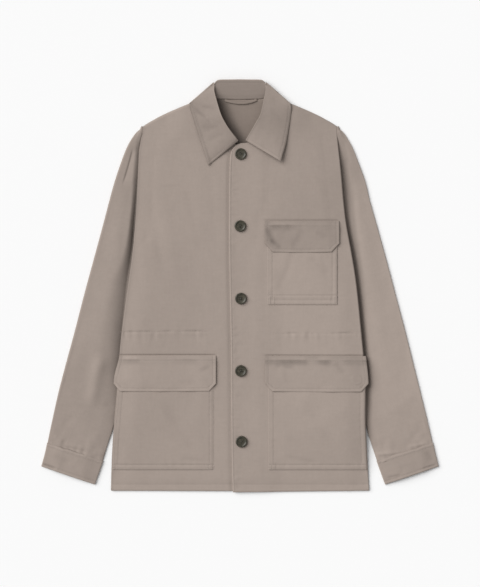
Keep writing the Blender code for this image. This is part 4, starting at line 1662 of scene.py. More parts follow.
@dataclass
class Patch:
    """Cloth sewn flat onto a front: a pocket, or a flap with clipped lower corners."""

    name: str
    front: Front
    left: SideEdge
    right: SideEdge
    top: float
    bottom: float
    wall: float
    step: float
    seams: tuple[SeamLine, ...]
    folds: tuple[Fold, ...] = ()
    clip: float = 0
    bulge: float = 0.6
    top_slope: float = 0
    bottom_bow: float = 0
    head: Optional[SeamLine] = None
    band: float = 0
    tone: float = 0
    # Painted shade in a strip under the head row.
    head_painted_shade: float = -0.25
    snap: Optional[tuple[float, float]] = None
    seed: int = 90

    def outline(self, v: Array) -> tuple[Array, Array, Array]:
        """Sides of the patch.

        Args:
            v: share of the way from the top edge to the bottom one.

        Returns:
            The left x, the right x, and the height.
        """
        y = self.top + (self.bottom - self.top) * v
        cut = CLIP_SLOPE * np.maximum(0, self.clip - (y - self.bottom))
        return self.left.at(y) + cut, self.right.at(y) - cut, y

    def inward(self, x: Array, y: Array) -> tuple[Array, Array]:
        """Distance to the nearest edge.

        Args:
            x: places across.
            y: places along.

        Returns:
            The distance to the nearest stitched edge, and the distance along it.
        """
        left, right = x - self.left.at(y), self.right.at(y) - x
        up = y - self.bottom
        slant = 0.7071
        sides = [(left, y), (right, y + 50), (up, x + 100)]
        if self.clip:
            beyond = up - self.clip * CLIP_SLOPE
            sides.append(((left + beyond) * slant, x + 150))
            sides.append(((right + beyond) * slant, x + 180))
        nearest, along = np.broadcast_arrays(*sides[0])
        nearest, along = nearest.copy(), along.copy()
        for distance, place in sides[1:]:
            closer = distance < nearest
            along = np.where(closer, place, along)
            nearest = np.where(closer, distance, nearest)
        return nearest, along

    def relief(self, x: Array, y: Array) -> Array:
        """What the patch does over the front below it.

        Args:
            x: places across.
            y: places along.

        Returns:
            The added height.
        """
        inward, along = self.inward(x, y)
        height = self.bulge * smooth(4, 34, inward)
        for seam in self.seams:
            height = height + seam.relief(inward, along)
        if self.head:
            height = height + self.head.relief(self.top - y, x) * self.uneven(x)
        height = height + 0.3 * drift(x, y, 32, self.seed) * smooth(3, 14, inward)
        height = height + add_folds(self.folds, x, y)
        if self.band:
            up = y - self.bottom - self.band
            height = height - 0.45 * hump(up, 1.2) + 0.35 * hump(up + 3.5, 3)
            height = height + 0.2 * drift(x, y * 0.2, 6, self.seed + 3) * hump(up, 6)
        if self.snap:
            away = np.hypot(x - self.snap[0], y - self.snap[1])
            height = height + 0.45 * hump(away - 8.5, 1.6) + 0.25 * smooth(8, 3, away)
        if self.clip:
            wave = 0.6 * drift(x, 0, 26, self.seed + 7)
            height = height + wave * smooth(14, 0, y - self.bottom)
            height = height - 0.18 * hump(inward, 1.1)
        else:
            height = height - 0.3 * hump(inward, 1.2) - 0.7 * hump(x - self.left.at(y), 1.6)
            if self.left.half is not None:
                height = height - 1.3 * hump(self.right.at(y) - x, 4.6)
        return height - 0.2 * hump(self.top - y, 1.2)

    def uneven(self, x: Array) -> Array:
        """How strongly the top row of stitching is drawn in at each place across."""
        return 0.35 + 1.1 * smooth(-0.5, 0.6, drift(x, 0, 24, self.seed + 5))

    def mid(self, x: Array, y: Array) -> Array:
        """Middle of the patch's cloth."""
        edge = BODY_EDGE.at(self.front.half, y)
        on = np.sign(edge) * np.minimum(np.abs(edge) - 2, np.sign(edge) * x)
        base = self.front.top(on, y) + CLEARANCE + self.wall / 2
        down = self.step * smooth(0, 14, self.top - y)
        beyond = np.maximum(0, np.sign(edge) * (x - on) - 2)
        return base + down + self.relief(x, y) - 0.12 * beyond

    def grid(self) -> tuple[Array, Array]:
        """Lays out the patch.

        Returns:
            The grid of points, and the painted shade and light at each.
        """
        tall = self.top - self.bottom
        wide = abs(float(self.right.at(self.top) - self.left.at(self.top)))
        sewn = self.seams + ((self.head,) if self.head else ())
        deep = max(seam.inset for seam in sewn) + 2
        near = [(0, deep, 0.95), (tall, deep + self.clip, 0.95)]
        if self.band:
            near.append((tall - self.band, 4, 1))
        rows = stops(0, tall, 2.8, near) / tall
        columns = stops(0, wide, 2.8, ((0, deep, 0.95), (wide, deep, 0.95))) / wide
        x0, x1, y = self.outline(rows[:, None])
        x = x0 + (x1 - x0) * columns[None, :]
        y = y + x * 0
        z = self.mid(x, y)
        inward, _ = self.inward(x, y)
        # Paler rubbing on the seams' ridges and painted shade in their grooves, the head row's too.
        wear_and_shade = 0.5 + sum(0.6 * seam.wear_and_shade(inward) for seam in self.seams)
        if self.head:
            wear_and_shade = wear_and_shade + 1.3 * self.head.wear_and_shade(self.top - y) * self.uneven(x)
        # Painted shade in the band's stitched groove.
        if self.band:
            wear_and_shade = wear_and_shade - 0.25 * hump(y - self.bottom - self.band, 1.5)
        # Painted shade in the troughs of the patch's folds; tone makes the whole patch lighter or
        # darker.
        crease_shade = 0.9 if self.clip else 0.25
        wear_and_shade = wear_and_shade + self.tone + crease_shade * np.minimum(0, add_folds(self.folds, x, y))
        # Painted shade in a strip under the head row.
        if self.head:
            below = hump(self.top - y - self.head.inset - 3, 5) * self.uneven(x)
            wear_and_shade = wear_and_shade + self.head_painted_shade * (smooth(14, 0, self.top - y) + below)
        # Painted shade along the left edge, which faces the sun; a pocket at the body's side gets
        # painted light along its right edge, which faces away.
        if self.left.half is not None:
            wear_and_shade = wear_and_shade - 0.6 * hump(x - self.left.at(y), 3.5)
            if not self.clip:
                wear_and_shade = wear_and_shade + 0.6 * hump(self.right.at(y) - x, 3.4)
        else:
            wear_and_shade = wear_and_shade - 0.45 * hump(x - self.left.at(y) - 1, 2.2)
        shift = self.top_slope * (x - x.mean()) * smooth(self.bottom, self.top, y)
        sag = self.bottom_bow * np.sin(np.pi * columns[None, :]) * smooth(self.top, self.bottom, y)
        return np.stack([x, y + shift - sag, z], axis=-1), wear_and_shade

    def build(self, node: str) -> bpy.types.Object:
        """Makes the patch with its stitching and logs its size and cut area.

        Args:
            node: the CAD node that it stands for.

        Returns:
            The patch.
        """
        cloth = Cloth.from_grid(*self.grid())
        piece = dress(cloth.shell(self.name, self.wall, CLOTH.material()), Slot.TWILL, node)
        threads = [dress(self.stitches(), Slot.TWILL)]
        tacks = self.tacks()
        if tacks:
            made = BARTACK.rows(self.name + "_bars", tacks, SEAM_THREAD.material())
            threads.append(dress(made, Slot.TWILL))
        width = float(np.ptp(cloth.points[:, 0])) * MM
        length = float(np.ptp(cloth.points[:, 1])) * MM
        min(cloth.area(), width * length)
        size = (width / MM, length / MM, cloth.area())
        LOG.info("%s: %.0f by %.0f mm, cut area %.4f m2", self.name, *size)
        return piece

    def lay(self, x: Array, y: Array) -> Path:
        """A line on the patch's upper face."""
        shift = self.top_slope * (x - (self.left.at(y) + self.right.at(y)) / 2)
        shift = shift * smooth(self.bottom, self.top, y)
        share = np.clip((x - self.left.at(y)) / (self.right.at(y) - self.left.at(y)), 0, 1)
        sag = self.bottom_bow * np.sin(np.pi * share) * smooth(self.top, self.bottom, y)
        return list(zip(x, y + shift - sag, self.mid(x, y) + self.wall / 2 + STITCH_LIFT))

    def stitches(self) -> bpy.types.Object:
        """Sews the patch along its edges, one row for each seam.

        Returns:
            The stitch piece.
        """
        paths: list[Path] = []
        for seam in self.seams:
            inset = seam.inset
            turn = max(0, self.clip * CLIP_SLOPE - inset * 0.586)
            start = self.top - (self.head.inset if self.head else 1)
            low = self.bottom + inset
            down = np.linspace(start, low + turn, 60)
            left = self.left.at(down) + inset
            right = self.right.at(down) - inset
            foot = np.linspace(left[-1] + turn, right[-1] - turn, 70)
            x = np.concatenate([left, foot, right[::-1]])
            y = np.concatenate([down, np.full(70, low), down[::-1]])
            if self.head:
                across = np.linspace(right[0], left[0], 70)[1:]
                x = np.concatenate([x, across])
                y = np.concatenate([y, np.full(69, start)])
            paths.append(self.lay(x, y))
        if self.band:
            deep = max(s.inset for s in self.seams)
            level = self.bottom + self.band
            across = np.linspace(self.left.at(level) + deep, self.right.at(level) - deep, 60)
            paths.append(self.lay(across, np.full(60, level)))
        return TOPSTITCH.rows(self.name + "_stitches", paths, SEAM_THREAD.material())

    def tacks(self) -> list[Path]:
        """Short dense bars at the pocket's lower corners."""
        if not self.band:
            return []
        level = self.bottom + self.band / 2
        rows = []
        for side, turn in ((self.left, 1), (self.right, -1)):
            if side.half is not None:
                continue
            for inset in (5, 13):
                ys = level + self.band * np.linspace(-0.36, 0.36, 12)
                rows.append(self.lay(side.at(ys) + turn * inset, ys))
        return rows


# --- collar ---

# Stations of the collar from its front end to the centre of the back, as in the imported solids.
# Neck seam x y, roll x y and outer edge x y where the collar folds over the shoulder.
SHOULDER_FOLD = {
    Half.VIEWER_LEFT: (-66.5, 377.5, -51, 401, -99.5, 362.6),
    Half.VIEWER_RIGHT: (66.5, 377.5, 51, 401, 100.5, 361),
}
# The leaf: the same columns, the turn angle, the lift of the roll and of the outer edge.
COLLAR_FRONT = {
    Half.VIEWER_LEFT: (
        (-4, 283.5, -4.6, 288, -63, 240, 90, 4, 2.2),
        (-12, 285.5, -9.5, 293, -67, 254, 90, 6.4, 2.6),
        (-20.5, 290, -20.5, 307, -74, 275, 90, 8.8, 3),
        (-38, 306.6, -30.5, 322, -84, 305, 90, 10, 3),
        (-52.6, 331.2, -39.5, 340, -92, 330, 90, 9.6, 2.6),
        (-61.6, 355.6, -48.5, 370, -98, 350, 90, 7, 1.8),
        (-64.3, 371.4, -52.5, 388, -100, 357.5, 90, 3.4, 0.8),
    ),
    Half.VIEWER_RIGHT: (
        (16.5, 287.5, 12.8, 288.5, 80.6, 247.6, 90, 2, 7),
        (20.5, 290.5, 17, 296, 84, 259, 90, 3.2, 5.4),
        (29, 298, 24.5, 308.5, 90.5, 281, 90, 5, 3),
        (38, 306.6, 32.5, 322, 95.5, 305, 90, 6, 1),
        (52.6, 331.2, 42.8, 341, 100, 331, 90, 6, 0.2),
        (61.6, 355.6, 49, 370, 102, 349, 90, 4.5, 0),
        (64.3, 371.4, 52.5, 388, 102, 356, 90, 2, 0),
    ),
}
LEAF_STATIONS = len(COLLAR_FRONT[Half.VIEWER_LEFT])
# The turn angles that the fold at the shoulder goes through, in degrees.
FOLD_ANGLES = (90, 60, 30, 0, -30, -60, -90)
# Behind the neck, on one half: the first six columns.
COLLAR_BACK = (
    (60, 375.6, 48.5, 405.2, 93, 356.5), (51, 374, 44, 408, 78, 348.5),
    (41, 372.6, 36.5, 408.8, 58, 346), (21, 371.8, 19, 408.9, 30, 344.5),
    (0, 371.1, 0, 409.2, 0, 344),
)


@dataclass
class Collar:
    """The one-piece collar: stand, roll and fall, wrapped round the neck."""

    fronts: dict[Half, Front]
    wall: float = 1.5
    roll: float = 1.25
    neck_back_z: float = 3.4
    neck_front_z: float = 6.4
    back_rise: float = 7
    stand_up: float = 1.6
    lean_in: float = 7
    stand_points: int = 22
    roll_points: int = 11
    fall_points: int = 34
    edge_points: int = 11
    edge_seam: SeamLine = SeamLine(
        6, depth=0.2, ridge=0.12, width=1.2, pucker=0.2, pitch=4, seed=101
    )
    flat: tuple[float, float] = (0.46, 0.115)
    folds: tuple[Fold, ...] = (
        Fold(-90, 354, -56, 322, -0.7, 3.5),
        Fold(-76, 358, -46, 350, -0.5, 3.5),
        Fold(-84, 330, -50, 334, 0.5, 4.5),
        Fold(-78, 316, -40, 318, -0.5, 5, 2),
        Fold(-66, 290, -28, 304, -0.4, 5),
        Fold(62, 350, 88, 322, -0.3, 6),
    )

    def stations(self, half: Half) -> Array:
        """Stations of one half as rows of numbers, from the front end to the centre of the back."""
        sign = half.sign
        rows = list(COLLAR_FRONT[half])
        rows += [(*SHOULDER_FOLD[half], angle, 0, 0) for angle in FOLD_ANGLES]
        for nx, ny, rx, ry, fx, fy in COLLAR_BACK:
            rows.append((sign * nx, ny, sign * rx, ry, sign * fx, fy, -90, 0, 0))
        return np.array(rows)

    def section(self, half: Half, t: float) -> Array:
        """One section across the collar.

        Args:
            half: which half it is on.
            t: its place among the half's stations.

        Returns:
            Points from the neck seam over the roll to the outer edge.
        """
        table = self.stations(half)
        nx, ny, rx, ry, fx, fy, angle, roll_lift, edge_lift = (
            float(read_by_row(table, column, t)) for column in range(9)
        )
        angle = max(-90, min(90, angle))
        a = math.radians(angle)
        out = np.array([0.61 * half.sign, 0.79])
        w = np.array([out[0] * math.cos(a), out[1] * math.cos(a), math.sin(a)])
        neck, roll, fall = (np.array([*at, 0]) for at in ((nx, ny), (rx, ry), (fx, fy)))
        toward = roll - neck
        neck = neck + toward / np.linalg.norm(toward) * 0.6
        middle = (self.neck_back_z + self.neck_front_z) / 2
        half_gap = (self.neck_front_z - self.neck_back_z) / 2
        neck_z = fall_z = middle
        front = self.fronts[half]
        ahead_part = float(smooth(80, 89, angle))
        settle = ahead_part * float(smooth(376, 340, ny))
        neck_z += (float(LAYERS.front_mid(half, nx, ny)) - self.neck_front_z) * settle
        tip = 1.5 * float(smooth(4, 0.5, t)) if half is Half.VIEWER_RIGHT else 0
        lying = float(front.top(fx, fy)) + self.wall / 2 + CLEARANCE + edge_lift + tip
        fall_z += (lying - (self.neck_front_z + 2 * self.roll)) * settle
        up = np.array([0, 0, 1])
        neck = neck + w * half_gap + up * neck_z
        roll = roll + w * (half_gap + self.roll) + up * (neck_z + roll_lift * self.stand_up)
        flatter = w * np.array([0.4, 0.4, 1])
        fall = fall + flatter * (half_gap + 2 * self.roll) + up * fall_z
        stand_end = roll - w * self.roll
        fall_start = roll + w * self.roll
        ahead = (stand_end - neck) / np.linalg.norm(stand_end - neck)
        away = (fall_start - fall) / np.linalg.norm(fall_start - fall)
        bulge = ahead + away
        bulge = bulge / np.linalg.norm(bulge)
        inside = (roll - fall) * np.array([1, 1, 0])
        inside = inside / np.linalg.norm(inside) * ahead_part
        leaning = 1 if half is Half.VIEWER_LEFT else 0.3
        inside *= self.lean_in * float(smooth(0, 1.5, t)) * leaning
        stand = np.linspace(0, 1, self.stand_points)
        path = [
            neck + (stand_end - neck) * s + inside * math.sin(math.pi * s**0.8) for s in stand
        ]
        for turn in np.linspace(-80, 80, self.roll_points):
            r = math.radians(turn)
            path.append(roll + w * self.roll * math.sin(r) + bulge * self.roll * math.cos(r))
        down = fall - fall_start
        fall_line = [fall_start + down * s for s in self.fall_shares(float(np.linalg.norm(down)))]
        points = np.array(path + fall_line)
        share = np.linspace(0, 1, self.fall_points)
        behind = float(smooth(80, -80, angle)) * self.back_rise
        lift = np.concatenate([stand, np.ones(self.roll_points), smooth(0.5, 0, share)])
        sunk = 0.8 * hump(np.arange(len(points)), 1.9) * float(smooth(0, -80, angle))
        points[:, 2] += behind * lift - sunk
        lines = 0.3 * hump(stand - 0.86, 0.03) + 0.3 * hump(stand - 0.13, 0.03)
        points[:self.stand_points, 2] -= lines * float(smooth(-60, -88, angle))
        if ahead_part > 0:
            fall_part = points[-self.fall_points:]
            clear = front.top(fall_part[:, 0], fall_part[:, 1]) + self.wall / 2 + CLEARANCE
            bow, end = (-1.5, -3) if half is Half.VIEWER_LEFT else (1.2, 0.6)
            bow += (end - bow) * float(smooth(2, 0, t))
            arch = bow * np.sin(np.pi * share) ** 1.2 * settle
            raised = np.maximum(fall_part[:, 2] + arch, clear)
            fall_part[:, 2] += (raised - fall_part[:, 2]) * ahead_part
        return points

    def fall_shares(self, length: float) -> Array:
        """Shares of the fall's length, closer together beside its stitched edge."""
        edge = max(0.2, 1 - 9 / length)
        inner = np.linspace(0, edge, self.fall_points - self.edge_points)
        return np.concatenate([inner, np.linspace(edge, 1, self.edge_points + 1)[1:]])

    def grid(self) -> tuple[Array, Array, list[tuple[Half, float]]]:
        """Lays out the collar.

        Returns:
            The grid of points, the painted shade at each, and the half and place of each row.
        """
        last = LEAF_STATIONS + len(FOLD_ANGLES) + len(COLLAR_BACK) - 1
        marks = stops(0, float(last), 0.16, ((0, 0.9, 0.055), (8.5, 4, 0.2)))
        places = [(Half.VIEWER_LEFT, float(t)) for t in marks]
        places += [(Half.VIEWER_RIGHT, float(t)) for t in marks[-2::-1]]
        grid = np.stack([self.section(half, t) for half, t in places])
        steps = np.linalg.norm(np.diff(grid[:, -1], axis=0), axis=1)
        along = np.concatenate([[0], np.cumsum(steps)])[:, None]
        outer = np.linalg.norm(grid - grid[:, -1:, :], axis=-1)
        ends = [self.end_distance(grid, section) for section in (grid[0], grid[-1])]
        inward = np.minimum(outer, np.minimum(*ends))
        on_fall = np.zeros(grid.shape[1])
        share = np.linspace(0, 1, self.fall_points)
        on_fall[-self.fall_points:] = smooth(0, 0.1, share)
        relief = self.edge_seam.relief(inward, along + inward) - 0.7 * hump(inward, 1.3)
        x, y = grid[..., 0], grid[..., 1]
        folds = add_folds(self.folds, x, y)
        wrinkles = 0.4 * drift(x, y, 24, 103) + 0.16 * drift(x, y, 10, 104) + folds
        relief = (relief + wrinkles * smooth(0, 14, inward)) * on_fall
        on_leaf = np.array([float(t < LEAF_STATIONS) for _, t in places])
        grid[..., 2] += relief * on_leaf[:, None]
        # Paler rubbing on the edge seam's ridge; painted shade in its groove and in the folds'
        # troughs.
        wear_and_shade = 0.5 + (0.6 * self.edge_seam.wear_and_shade(inward) + 0.5 * np.minimum(0, folds)) * on_fall
        # Painted shade over the stand and, a little, over the fall.
        wear_and_shade[:, :self.stand_points] -= 0.6
        wear_and_shade[:, -self.fall_points:] -= 0.15
        turn = slice(self.stand_points, self.stand_points + self.roll_points)
        # Painted shadow on the viewer-left stand inside the neck, painted shade over the left leaf
        # and along its outer edge; painted shade on the viewer-right roll and just inside the right
        # leaf's outer edge.
        for row, (half, t) in enumerate(places):
            if half is Half.VIEWER_LEFT:
                wear_and_shade[row, :self.stand_points] -= 0.9 * float(smooth(8, 6.5, t))
                wear_and_shade[row, -self.fall_points:] -= 0.1 + 0.45 * float(smooth(1, 5, t))
                wear_and_shade[row] -= 0.7 * hump(outer[row], 2.8) * on_fall
            else:
                wear_and_shade[row, turn] -= 0.8 * float(smooth(7.6, 6.8, t))
                wear_and_shade[row] -= 0.3 * hump(outer[row] - 3, 2.8) * on_fall
        return grid, wear_and_shade, places

    @staticmethod
    def end_distance(grid: Array, end: Array) -> Array:
        """Distance in plan from each point to the line of one end section's fall."""
        a, b = end[-1, :2], end[-20, :2]
        line = (b - a) / np.linalg.norm(b - a)
        offset = grid[..., :2] - a
        across = np.abs(offset[..., 0] * line[1] - offset[..., 1] * line[0])
        ahead = offset @ line
        beyond = np.maximum(0, np.maximum(-ahead, ahead - 110))
        return np.hypot(across, beyond)

    def build(self) -> bpy.types.Object:
        """Makes the collar with its stitching and logs its cut area."""
        grid, wear_and_shade, places = self.grid()
        cloth = Cloth.from_grid(grid, wear_and_shade)
        piece = cloth.shell("collar_cloth", self.wall, CLOTH.material())
        dress(piece, Slot.TWILL, "collar")
        paths = self.seam_paths(grid, places)
        thread = dress(TOPSTITCH.rows("collar_stitches", paths, SEAM_THREAD.material()), Slot.TWILL)
        min(cloth.area(), math.prod(self.flat))
        LOG.info("collar: cut area %.4f m2", cloth.area())
        return piece

    def seam_paths(self, grid: Array, places: list[tuple[Half, float]]) -> list[Path]:
        """Stitched line round each leaf, inside its edge.

        Args:
            grid: the collar's points.
            places: the half and place of each row.

        Returns:
            One line for each leaf.
        """
        rise = np.array([0, 0, self.wall / 2 + STITCH_LIFT])
        inset = self.edge_seam.inset
        paths: list[Path] = []
        for half in Half:
            rows = [k for k, (h, t) in enumerate(places) if h is half and t < LEAF_STATIONS]
            if half is Half.VIEWER_RIGHT:
                rows = rows[::-1]
            outer: list[Array] = []
            for k in rows:
                fall = grid[k, -self.fall_points:]
                far = np.linalg.norm(fall - fall[-1], axis=1)
                outer.append(np.array([np.interp(-inset, -far, fall[:, c]) for c in range(3)]))
            ends = self.end_distance(np.array(outer)[None, :, :], grid[rows[0]])[0]
            start = int(np.argmax(ends > inset))
            near_end = rows[:40]
            away = self.end_distance(grid, grid[rows[0]])[near_end]
            across: list[Array] = []
            columns = grid.shape[1]
            for c in range(columns - 4, columns - self.fall_points + 2, -1):
                line = grid[near_end, c]
                point = np.array([np.interp(inset, away[:, c], line[:, d]) for d in range(3)])
                if np.linalg.norm(point[:2] - grid[rows[0], -1, :2]) > inset * 1.5:
                    across.append(point)
            paths.append([tuple(p + rise) for p in across[::-1] + outer[start:]])
        return paths


# --- buttons ---


@dataclass
class Button:
    """A turned four-hole button, sewn on with crossed thread."""

    number: int
    x: float
    y: float
    front: Front
    radius: float = 11.5
    height: float = 3.6
    hole: float = 1.05
    hole_ring: float = 2.5
    turns: int = 48

    def base(self) -> float:
        """Height of the cloth below the button."""
        return float(LAYERS.front_mid(Half.VIEWER_RIGHT, self.x, self.y)) + LAYERS.wall / 2 + 0.45

    def profile(self) -> list[tuple[float, float]]:
        """The turned outline from the middle of the underside to the middle of the top."""
        r, h = self.radius, self.height
        return [
            (0.8, 0), (r - 3, 0), (r - 1.2, 0.35), (r - 0.35, 0.95), (r, 1.7),
            (r - 0.08, h - 1.1), (r - 0.5, h - 0.4), (r - 1.2, h - 0.06), (r - 1.9, h),
            (r - 2.6, h - 0.18), (r - 3.2, h - 0.65), (r - 3.8, h - 1.15), (r - 4.6, h - 1.38),
            (r - 6.5, h - 1.45), (0.8, h - 1.4),
        ]

    def build(self) -> list[bpy.types.Object]:
        """Makes the button and its thread."""
        base = self.base()
        profile = self.profile()
        count = self.turns
        angles = np.linspace(0, 2 * np.pi, count, endpoint=False)
        xs, ys = np.cos(angles), np.sin(angles)
        middle = (self.x, self.y, base)
        rings = [
            np.stack([r * xs, r * ys, np.full(count, z)], axis=-1) + middle for r, z in profile
        ]
        ends = np.array([[0, 0, 0], [0, 0, profile[-1][1]]]) + middle
        points = np.concatenate([*rings, ends])
        faces: list[tuple[int, ...]] = []
        for level in range(len(profile) - 1):
            for k in range(count):
                n = (k + 1) % count
                a, b = level * count, (level + 1) * count
                faces.append((a + k, a + n, b + n, b + k))
        low, high = len(profile) * count, len(profile) * count + 1
        top = (len(profile) - 1) * count
        for k in range(count):
            n = (k + 1) % count
            faces.append((low, n, k))
            faces.append((high, top + k, top + n))
        mesh = bpy.data.meshes.new(f"button_{self.number}_blank")
        mesh.from_pydata((points * MM).tolist(), [], faces)
        shade_smooth(mesh)
        mesh.materials.append(RESIN.material())
        disc = self.drill(put(mesh.name, mesh), base)
        dress(disc, Slot.RESIN, f"button_{self.number}")
        thread = dress(self.thread(base), Slot.RESIN)
        return [disc, thread]

    def holes(self) -> list[tuple[float, float]]:
        """Middles of the four thread holes."""
        turn = 0.35 * (self.number - 3)
        ring = self.hole_ring
        angles = [math.pi / 4 + k * math.pi / 2 + turn for k in range(4)]
        return [(self.x + ring * math.cos(a), self.y + ring * math.sin(a)) for a in angles]

    def drill(self, blank: bpy.types.Object, base: float) -> bpy.types.Object:
        """Cuts the thread holes.

        Args:
            blank: the turned disc.
            base: its underside's height.

        Returns:
            The drilled disc as a plain mesh piece.
        """
        cutters = []
        for hx, hy in self.holes():
            bpy.ops.mesh.primitive_cylinder_add(
                vertices=14,
                radius=self.hole * MM,
                depth=12 * MM,
                location=(hx * MM, hy * MM, (base + 1) * MM),
            )
            cutters.append(bpy.context.object)
            cut = blank.modifiers.new("Hole", "BOOLEAN")
            cut.operation, cut.solver, cut.object = "DIFFERENCE", "EXACT", cutters[-1]
        disc = settle(f"button_{self.number}_disc", blank)
        for cutter in cutters:
            bpy.data.objects.remove(cutter)
        disc.data.materials.clear()
        disc.data.materials.append(RESIN.material())
        disc.data.set_sharp_from_angle(angle=math.radians(40))
        return disc

    def thread(self, base: float) -> bpy.types.Object:
        """Threads that cross from hole to hole.

        Args:
            base: the underside's height.

        Returns:
            The thread piece.
        """
        top = base + self.height - 1.35
        holes = self.holes()
        rows: list[Path] = []
        for a, b, lift in ((0, 2, 0.45), (1, 3, 0.75)):
            for side in (-0.35, 0.35):
                (ax, ay), (bx, by) = holes[a], holes[b]
                dx, dy = bx - ax, by - ay
                length = math.hypot(dx, dy)
                ox, oy = -dy / length * side, dx / length * side
                s = np.linspace(0, 1, 9)
                arch = top + np.sin(np.pi * s) * (lift + 0.9) - 0.9
                rows.append(list(zip(ax + dx * s + ox, ay + dy * s + oy, arch)))
        strand = Stitching("button_strand", pitch=0.5, length=1.1, width=0.62, seed=7)
        return strand.rows(f"button_{self.number}_thread", rows, BUTTON_THREAD.material())


@dataclass
class Buttonholes:
    """Worked upright buttonholes, of which the ends show beyond each button."""

    front: Front
    length: float = 26
    spread: float = 0.95

    def build(self) -> bpy.types.Object:
        """Makes the worked edges of all buttonholes."""
        paths: list[Path] = []
        for x, y in BUTTON_PLACES:
            turn = np.linspace(0, 2 * np.pi, 60)
            sides = np.clip(self.spread * 1.6 * np.cos(turn), -self.spread, self.spread)
            paths.append(self.front.lay(x + sides, y + self.length / 2 * np.sin(turn)))
        work = Stitching("buttonhole", pitch=0.7, length=0.9, width=0.95, seed=9)
        return dress(work.rows("buttonholes", paths, SEAM_THREAD.material()), Slot.TWILL)


# --- studio ---


@dataclass(frozen=True)
class Studio:
    """Pale floor, soft light from the upper left and a camera straight above."""

    mm_per_pixel: float = 2
    image_height: float = 587
    centre_y: float = -16
    camera_height: float = 3
    sun_strength: float = 3.19
    sun_angle: float = 52
    sun_bearing: float = 150
    sun_elevation: float = 39
    sky_strength: float = 0.391
    floor_colour: Triple = (0.93, 0.93, 0.93)

    def build(self) -> None:
        """Sets the camera, the lights, the world and the floor."""
        scene = bpy.context.scene
        scene.view_settings.view_transform = "Standard"
        scene.view_settings.look = "None"
        lens = bpy.data.cameras.new("camera")
        lens.sensor_width = 36
        lens.lens = 36 * self.camera_height / (self.image_height * self.mm_per_pixel * MM)
        lens.clip_end = 20
        scene.camera = put("camera", lens)
        scene.camera.location = (0, self.centre_y * MM, self.camera_height)

        lamp = bpy.data.lights.new("window", "SUN")
        lamp.energy = self.sun_strength
        lamp.angle = math.radians(self.sun_angle)
        turned = (0, 90 - self.sun_elevation, self.sun_bearing)
        put("window", lamp).rotation_euler = [math.radians(angle) for angle in turned]

        world = bpy.data.worlds.new("studio")
        world.use_nodes = True
        sky = {"Color": (1, 1, 1, 1), "Strength": self.sky_strength}
        set_inputs(world.node_tree, world.node_tree.nodes["Background"], sky)
        scene.world = world

        bpy.ops.mesh.primitive_plane_add(size=12, location=(0, 0, -0.0004))
        floor = bpy.context.object
        floor.name = "floor"
        matt = {"Base Color": (*self.floor_colour, 1), "Roughness": 0.9}
        floor.data.materials.append(new_material("floor_paint", matt)[0])


# --- the whole ---


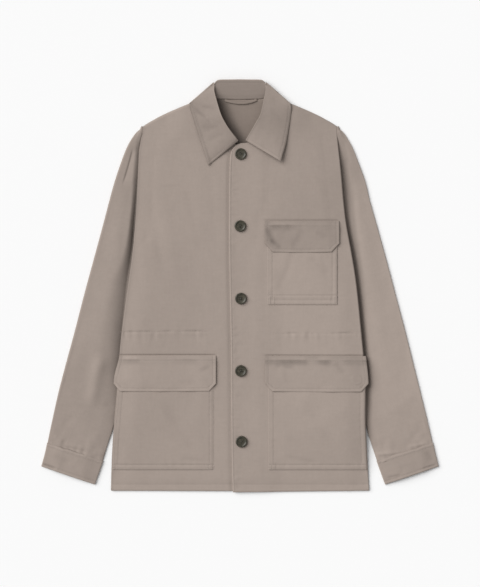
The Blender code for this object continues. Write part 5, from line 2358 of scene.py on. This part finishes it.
def pocket_patches(fronts: dict[Half, Front]) -> list[tuple[str, Patch]]:
    """The pockets and flaps.

    Args:
        fronts: the front panels that they are sewn to.

    Returns:
        The CAD node and the patch of each.
    """
    left, right = fronts[Half.VIEWER_LEFT], fronts[Half.VIEWER_RIGHT]
    double = (
        SeamLine(2, depth=0.12, ridge=0.05, pucker=0.16, pitch=3.2, seed=92),
        SeamLine(9.5, depth=0.2, ridge=0.1, pucker=0.2, pitch=3.4, seed=93),
    )
    lid = (SeamLine(6, depth=0.22, ridge=0.08, width=1.1, pucker=0.14, pitch=4, seed=94),)
    head = SeamLine(10.6, depth=0.95, ridge=0, width=2.4, pucker=0.5, pitch=9, seed=91)
    low_head = SeamLine(9, depth=0.4, ridge=0, width=1.6, pucker=0.3, pitch=6, seed=90)
    drawn_head = SeamLine(10, depth=0.7, ridge=0, width=2.2, pucker=0.4, pitch=8, seed=89)
    wall = 1.15
    lid_wall = 1.5
    step = 1.55
    return [
        ("chest_pocket", Patch(
            "chest_pocket_patch", right, SideEdge(55), SideEdge(193), 112, -38, wall, 0, double,
            folds=(
                Fold(108, 70, 95, 24, -0.5, 6, 2),
                Fold(98, 34, 78, -12, -0.45, 7, 2),
                Fold(138, 58, 176, 14, -0.4, 6, -4),
                Fold(164, 60, 176, 20, -0.35, 6),
                Fold(120, 20, 150, -8, 0.3, 9),
            ),
            band=18.4, seed=95,
        )),
        ("chest_flap", Patch(
            "chest_flap_patch", right, SideEdge(50), SideEdge(197.4), 128, 67, lid_wall, step, lid,
            folds=(
                Fold(54, 116, 72, 80, -0.7, 6, 1),
                Fold(60, 92, 84, 74, -0.5, 5),
                Fold(126, 112, 104, 70, -0.3, 6, 1),
                Fold(90, 112, 70, 100, 0.4, 6),
                Fold(150, 108, 176, 96, -0.3, 7),
            ),
            clip=17, bulge=0.9, bottom_bow=1.2, head=head, tone=-0.45, head_painted_shade=-0.3, seed=96,
        )),
        ("hip_pocket_right", Patch(
            "hip_pocket_right_patch",
            left, SideEdge(half=Half.VIEWER_LEFT, inset=2), SideEdge(-51.4),
            -150, -367.5, wall, 0, double,
            folds=(
                Fold(-230, -240, -120, -300, 0.5, 14, 5),
                Fold(-150, -222, -90, -330, -0.4, 12, 5),
                Fold(-66, -352, -120, -346, -0.5, 4, 1),
            ),
            band=10, seed=97,
        )),
        ("hip_flap_right", Patch(
            "hip_flap_right_patch", left, SideEdge(half=Half.VIEWER_LEFT, flare=7.5), SideEdge(-48),
            -140, -210.5, lid_wall, step, lid,
            folds=(
                Fold(-96, -152, -70, -196, 0.45, 7, 2),
                Fold(-82, -170, -58, -160, -0.4, 5),
                Fold(-200, -150, -190, -204, 0.3, 9),
            ),
            clip=15, bulge=0.9, bottom_bow=0.6, head=low_head, tone=0.12, head_painted_shade=-0.38, seed=98,
        )),
        ("hip_pocket_left", Patch(
            "hip_pocket_left_patch", right, SideEdge(57), SideEdge(half=Half.VIEWER_RIGHT, inset=2),
            -150, -367.5, wall, 0, double,
            folds=(
                Fold(90, -340, 160, -352, -0.5, 5, 2),
                Fold(220, -240, 110, -300, 0.45, 14, -5),
                Fold(130, -222, 200, -330, -0.35, 12, 5),
            ),
            band=10, seed=99,
        )),
        ("hip_flap_left", Patch(
            "hip_flap_left_patch", right, SideEdge(50.6),
            SideEdge(half=Half.VIEWER_RIGHT, inset=-4, flare=1.5),
            -141, -211, lid_wall, step, lid,
            folds=(
                Fold(84, -154, 92, -200, 0.4, 6, 2),
                Fold(70, -160, 110, -163, -0.4, 4),
                Fold(190, -152, 208, -176, -0.35, 6),
            ),
            clip=16, bulge=0.9, bottom_bow=0.6, head=drawn_head, tone=-0.12, head_painted_shade=-0.6,
            snap=(232, -187), seed=100,
        )),
    ]


def main() -> None:
    """Builds the jacket piece by piece, then the studio."""
    logging.basicConfig(level=logging.INFO, format="%(name)s: %(message)s")
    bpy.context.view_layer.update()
    fronts = {
        Half.VIEWER_LEFT: Front(
            Half.VIEWER_LEFT, LEFT_FOLDS, plateau=0.3, edge_drop=0.2,
            grooves=((-245, -48, -140),), waist=Waist(y=-91),
        ),
        Half.VIEWER_RIGHT: Front(
            Half.VIEWER_RIGHT, RIGHT_FOLDS, plateau=8, edge_drop=0.4, side_round=2,
            grooves=((50, 197.4, 128), (50.6, 250, -141)), waist=Waist(y=-95),
        ),
    }
    Back().build()
    for front in fronts.values():
        front.build()
    sleeves = (
        Sleeve(
            Half.VIEWER_LEFT, LEFT_SLEEVE_FOLDS, LEFT_SWELL,
            fold_out=3, painted_sleeve_light=-0.25, painted_fold_light=-0.2,
        ),
        Sleeve(
            Half.VIEWER_RIGHT, RIGHT_SLEEVE_FOLDS, RIGHT_SWELL,
            fold_out=1.3, painted_sleeve_light=0.36, painted_fold_light=0.9,
        ),
    )
    for sleeve in sleeves:
        sleeve.build()
        Cuff(sleeve.half, CUFF_FOLDS[sleeve.half]).build()
    Collar(fronts).build()
    for node, patch in pocket_patches(fronts):
        patch.build(node)
    for number, (x, y) in enumerate(BUTTON_PLACES, 1):
        Button(number, x, y, fronts[Half.VIEWER_RIGHT]).build()
    Buttonholes(fronts[Half.VIEWER_RIGHT]).build()
    Studio().build()


if __name__ == "__main__":
    main()
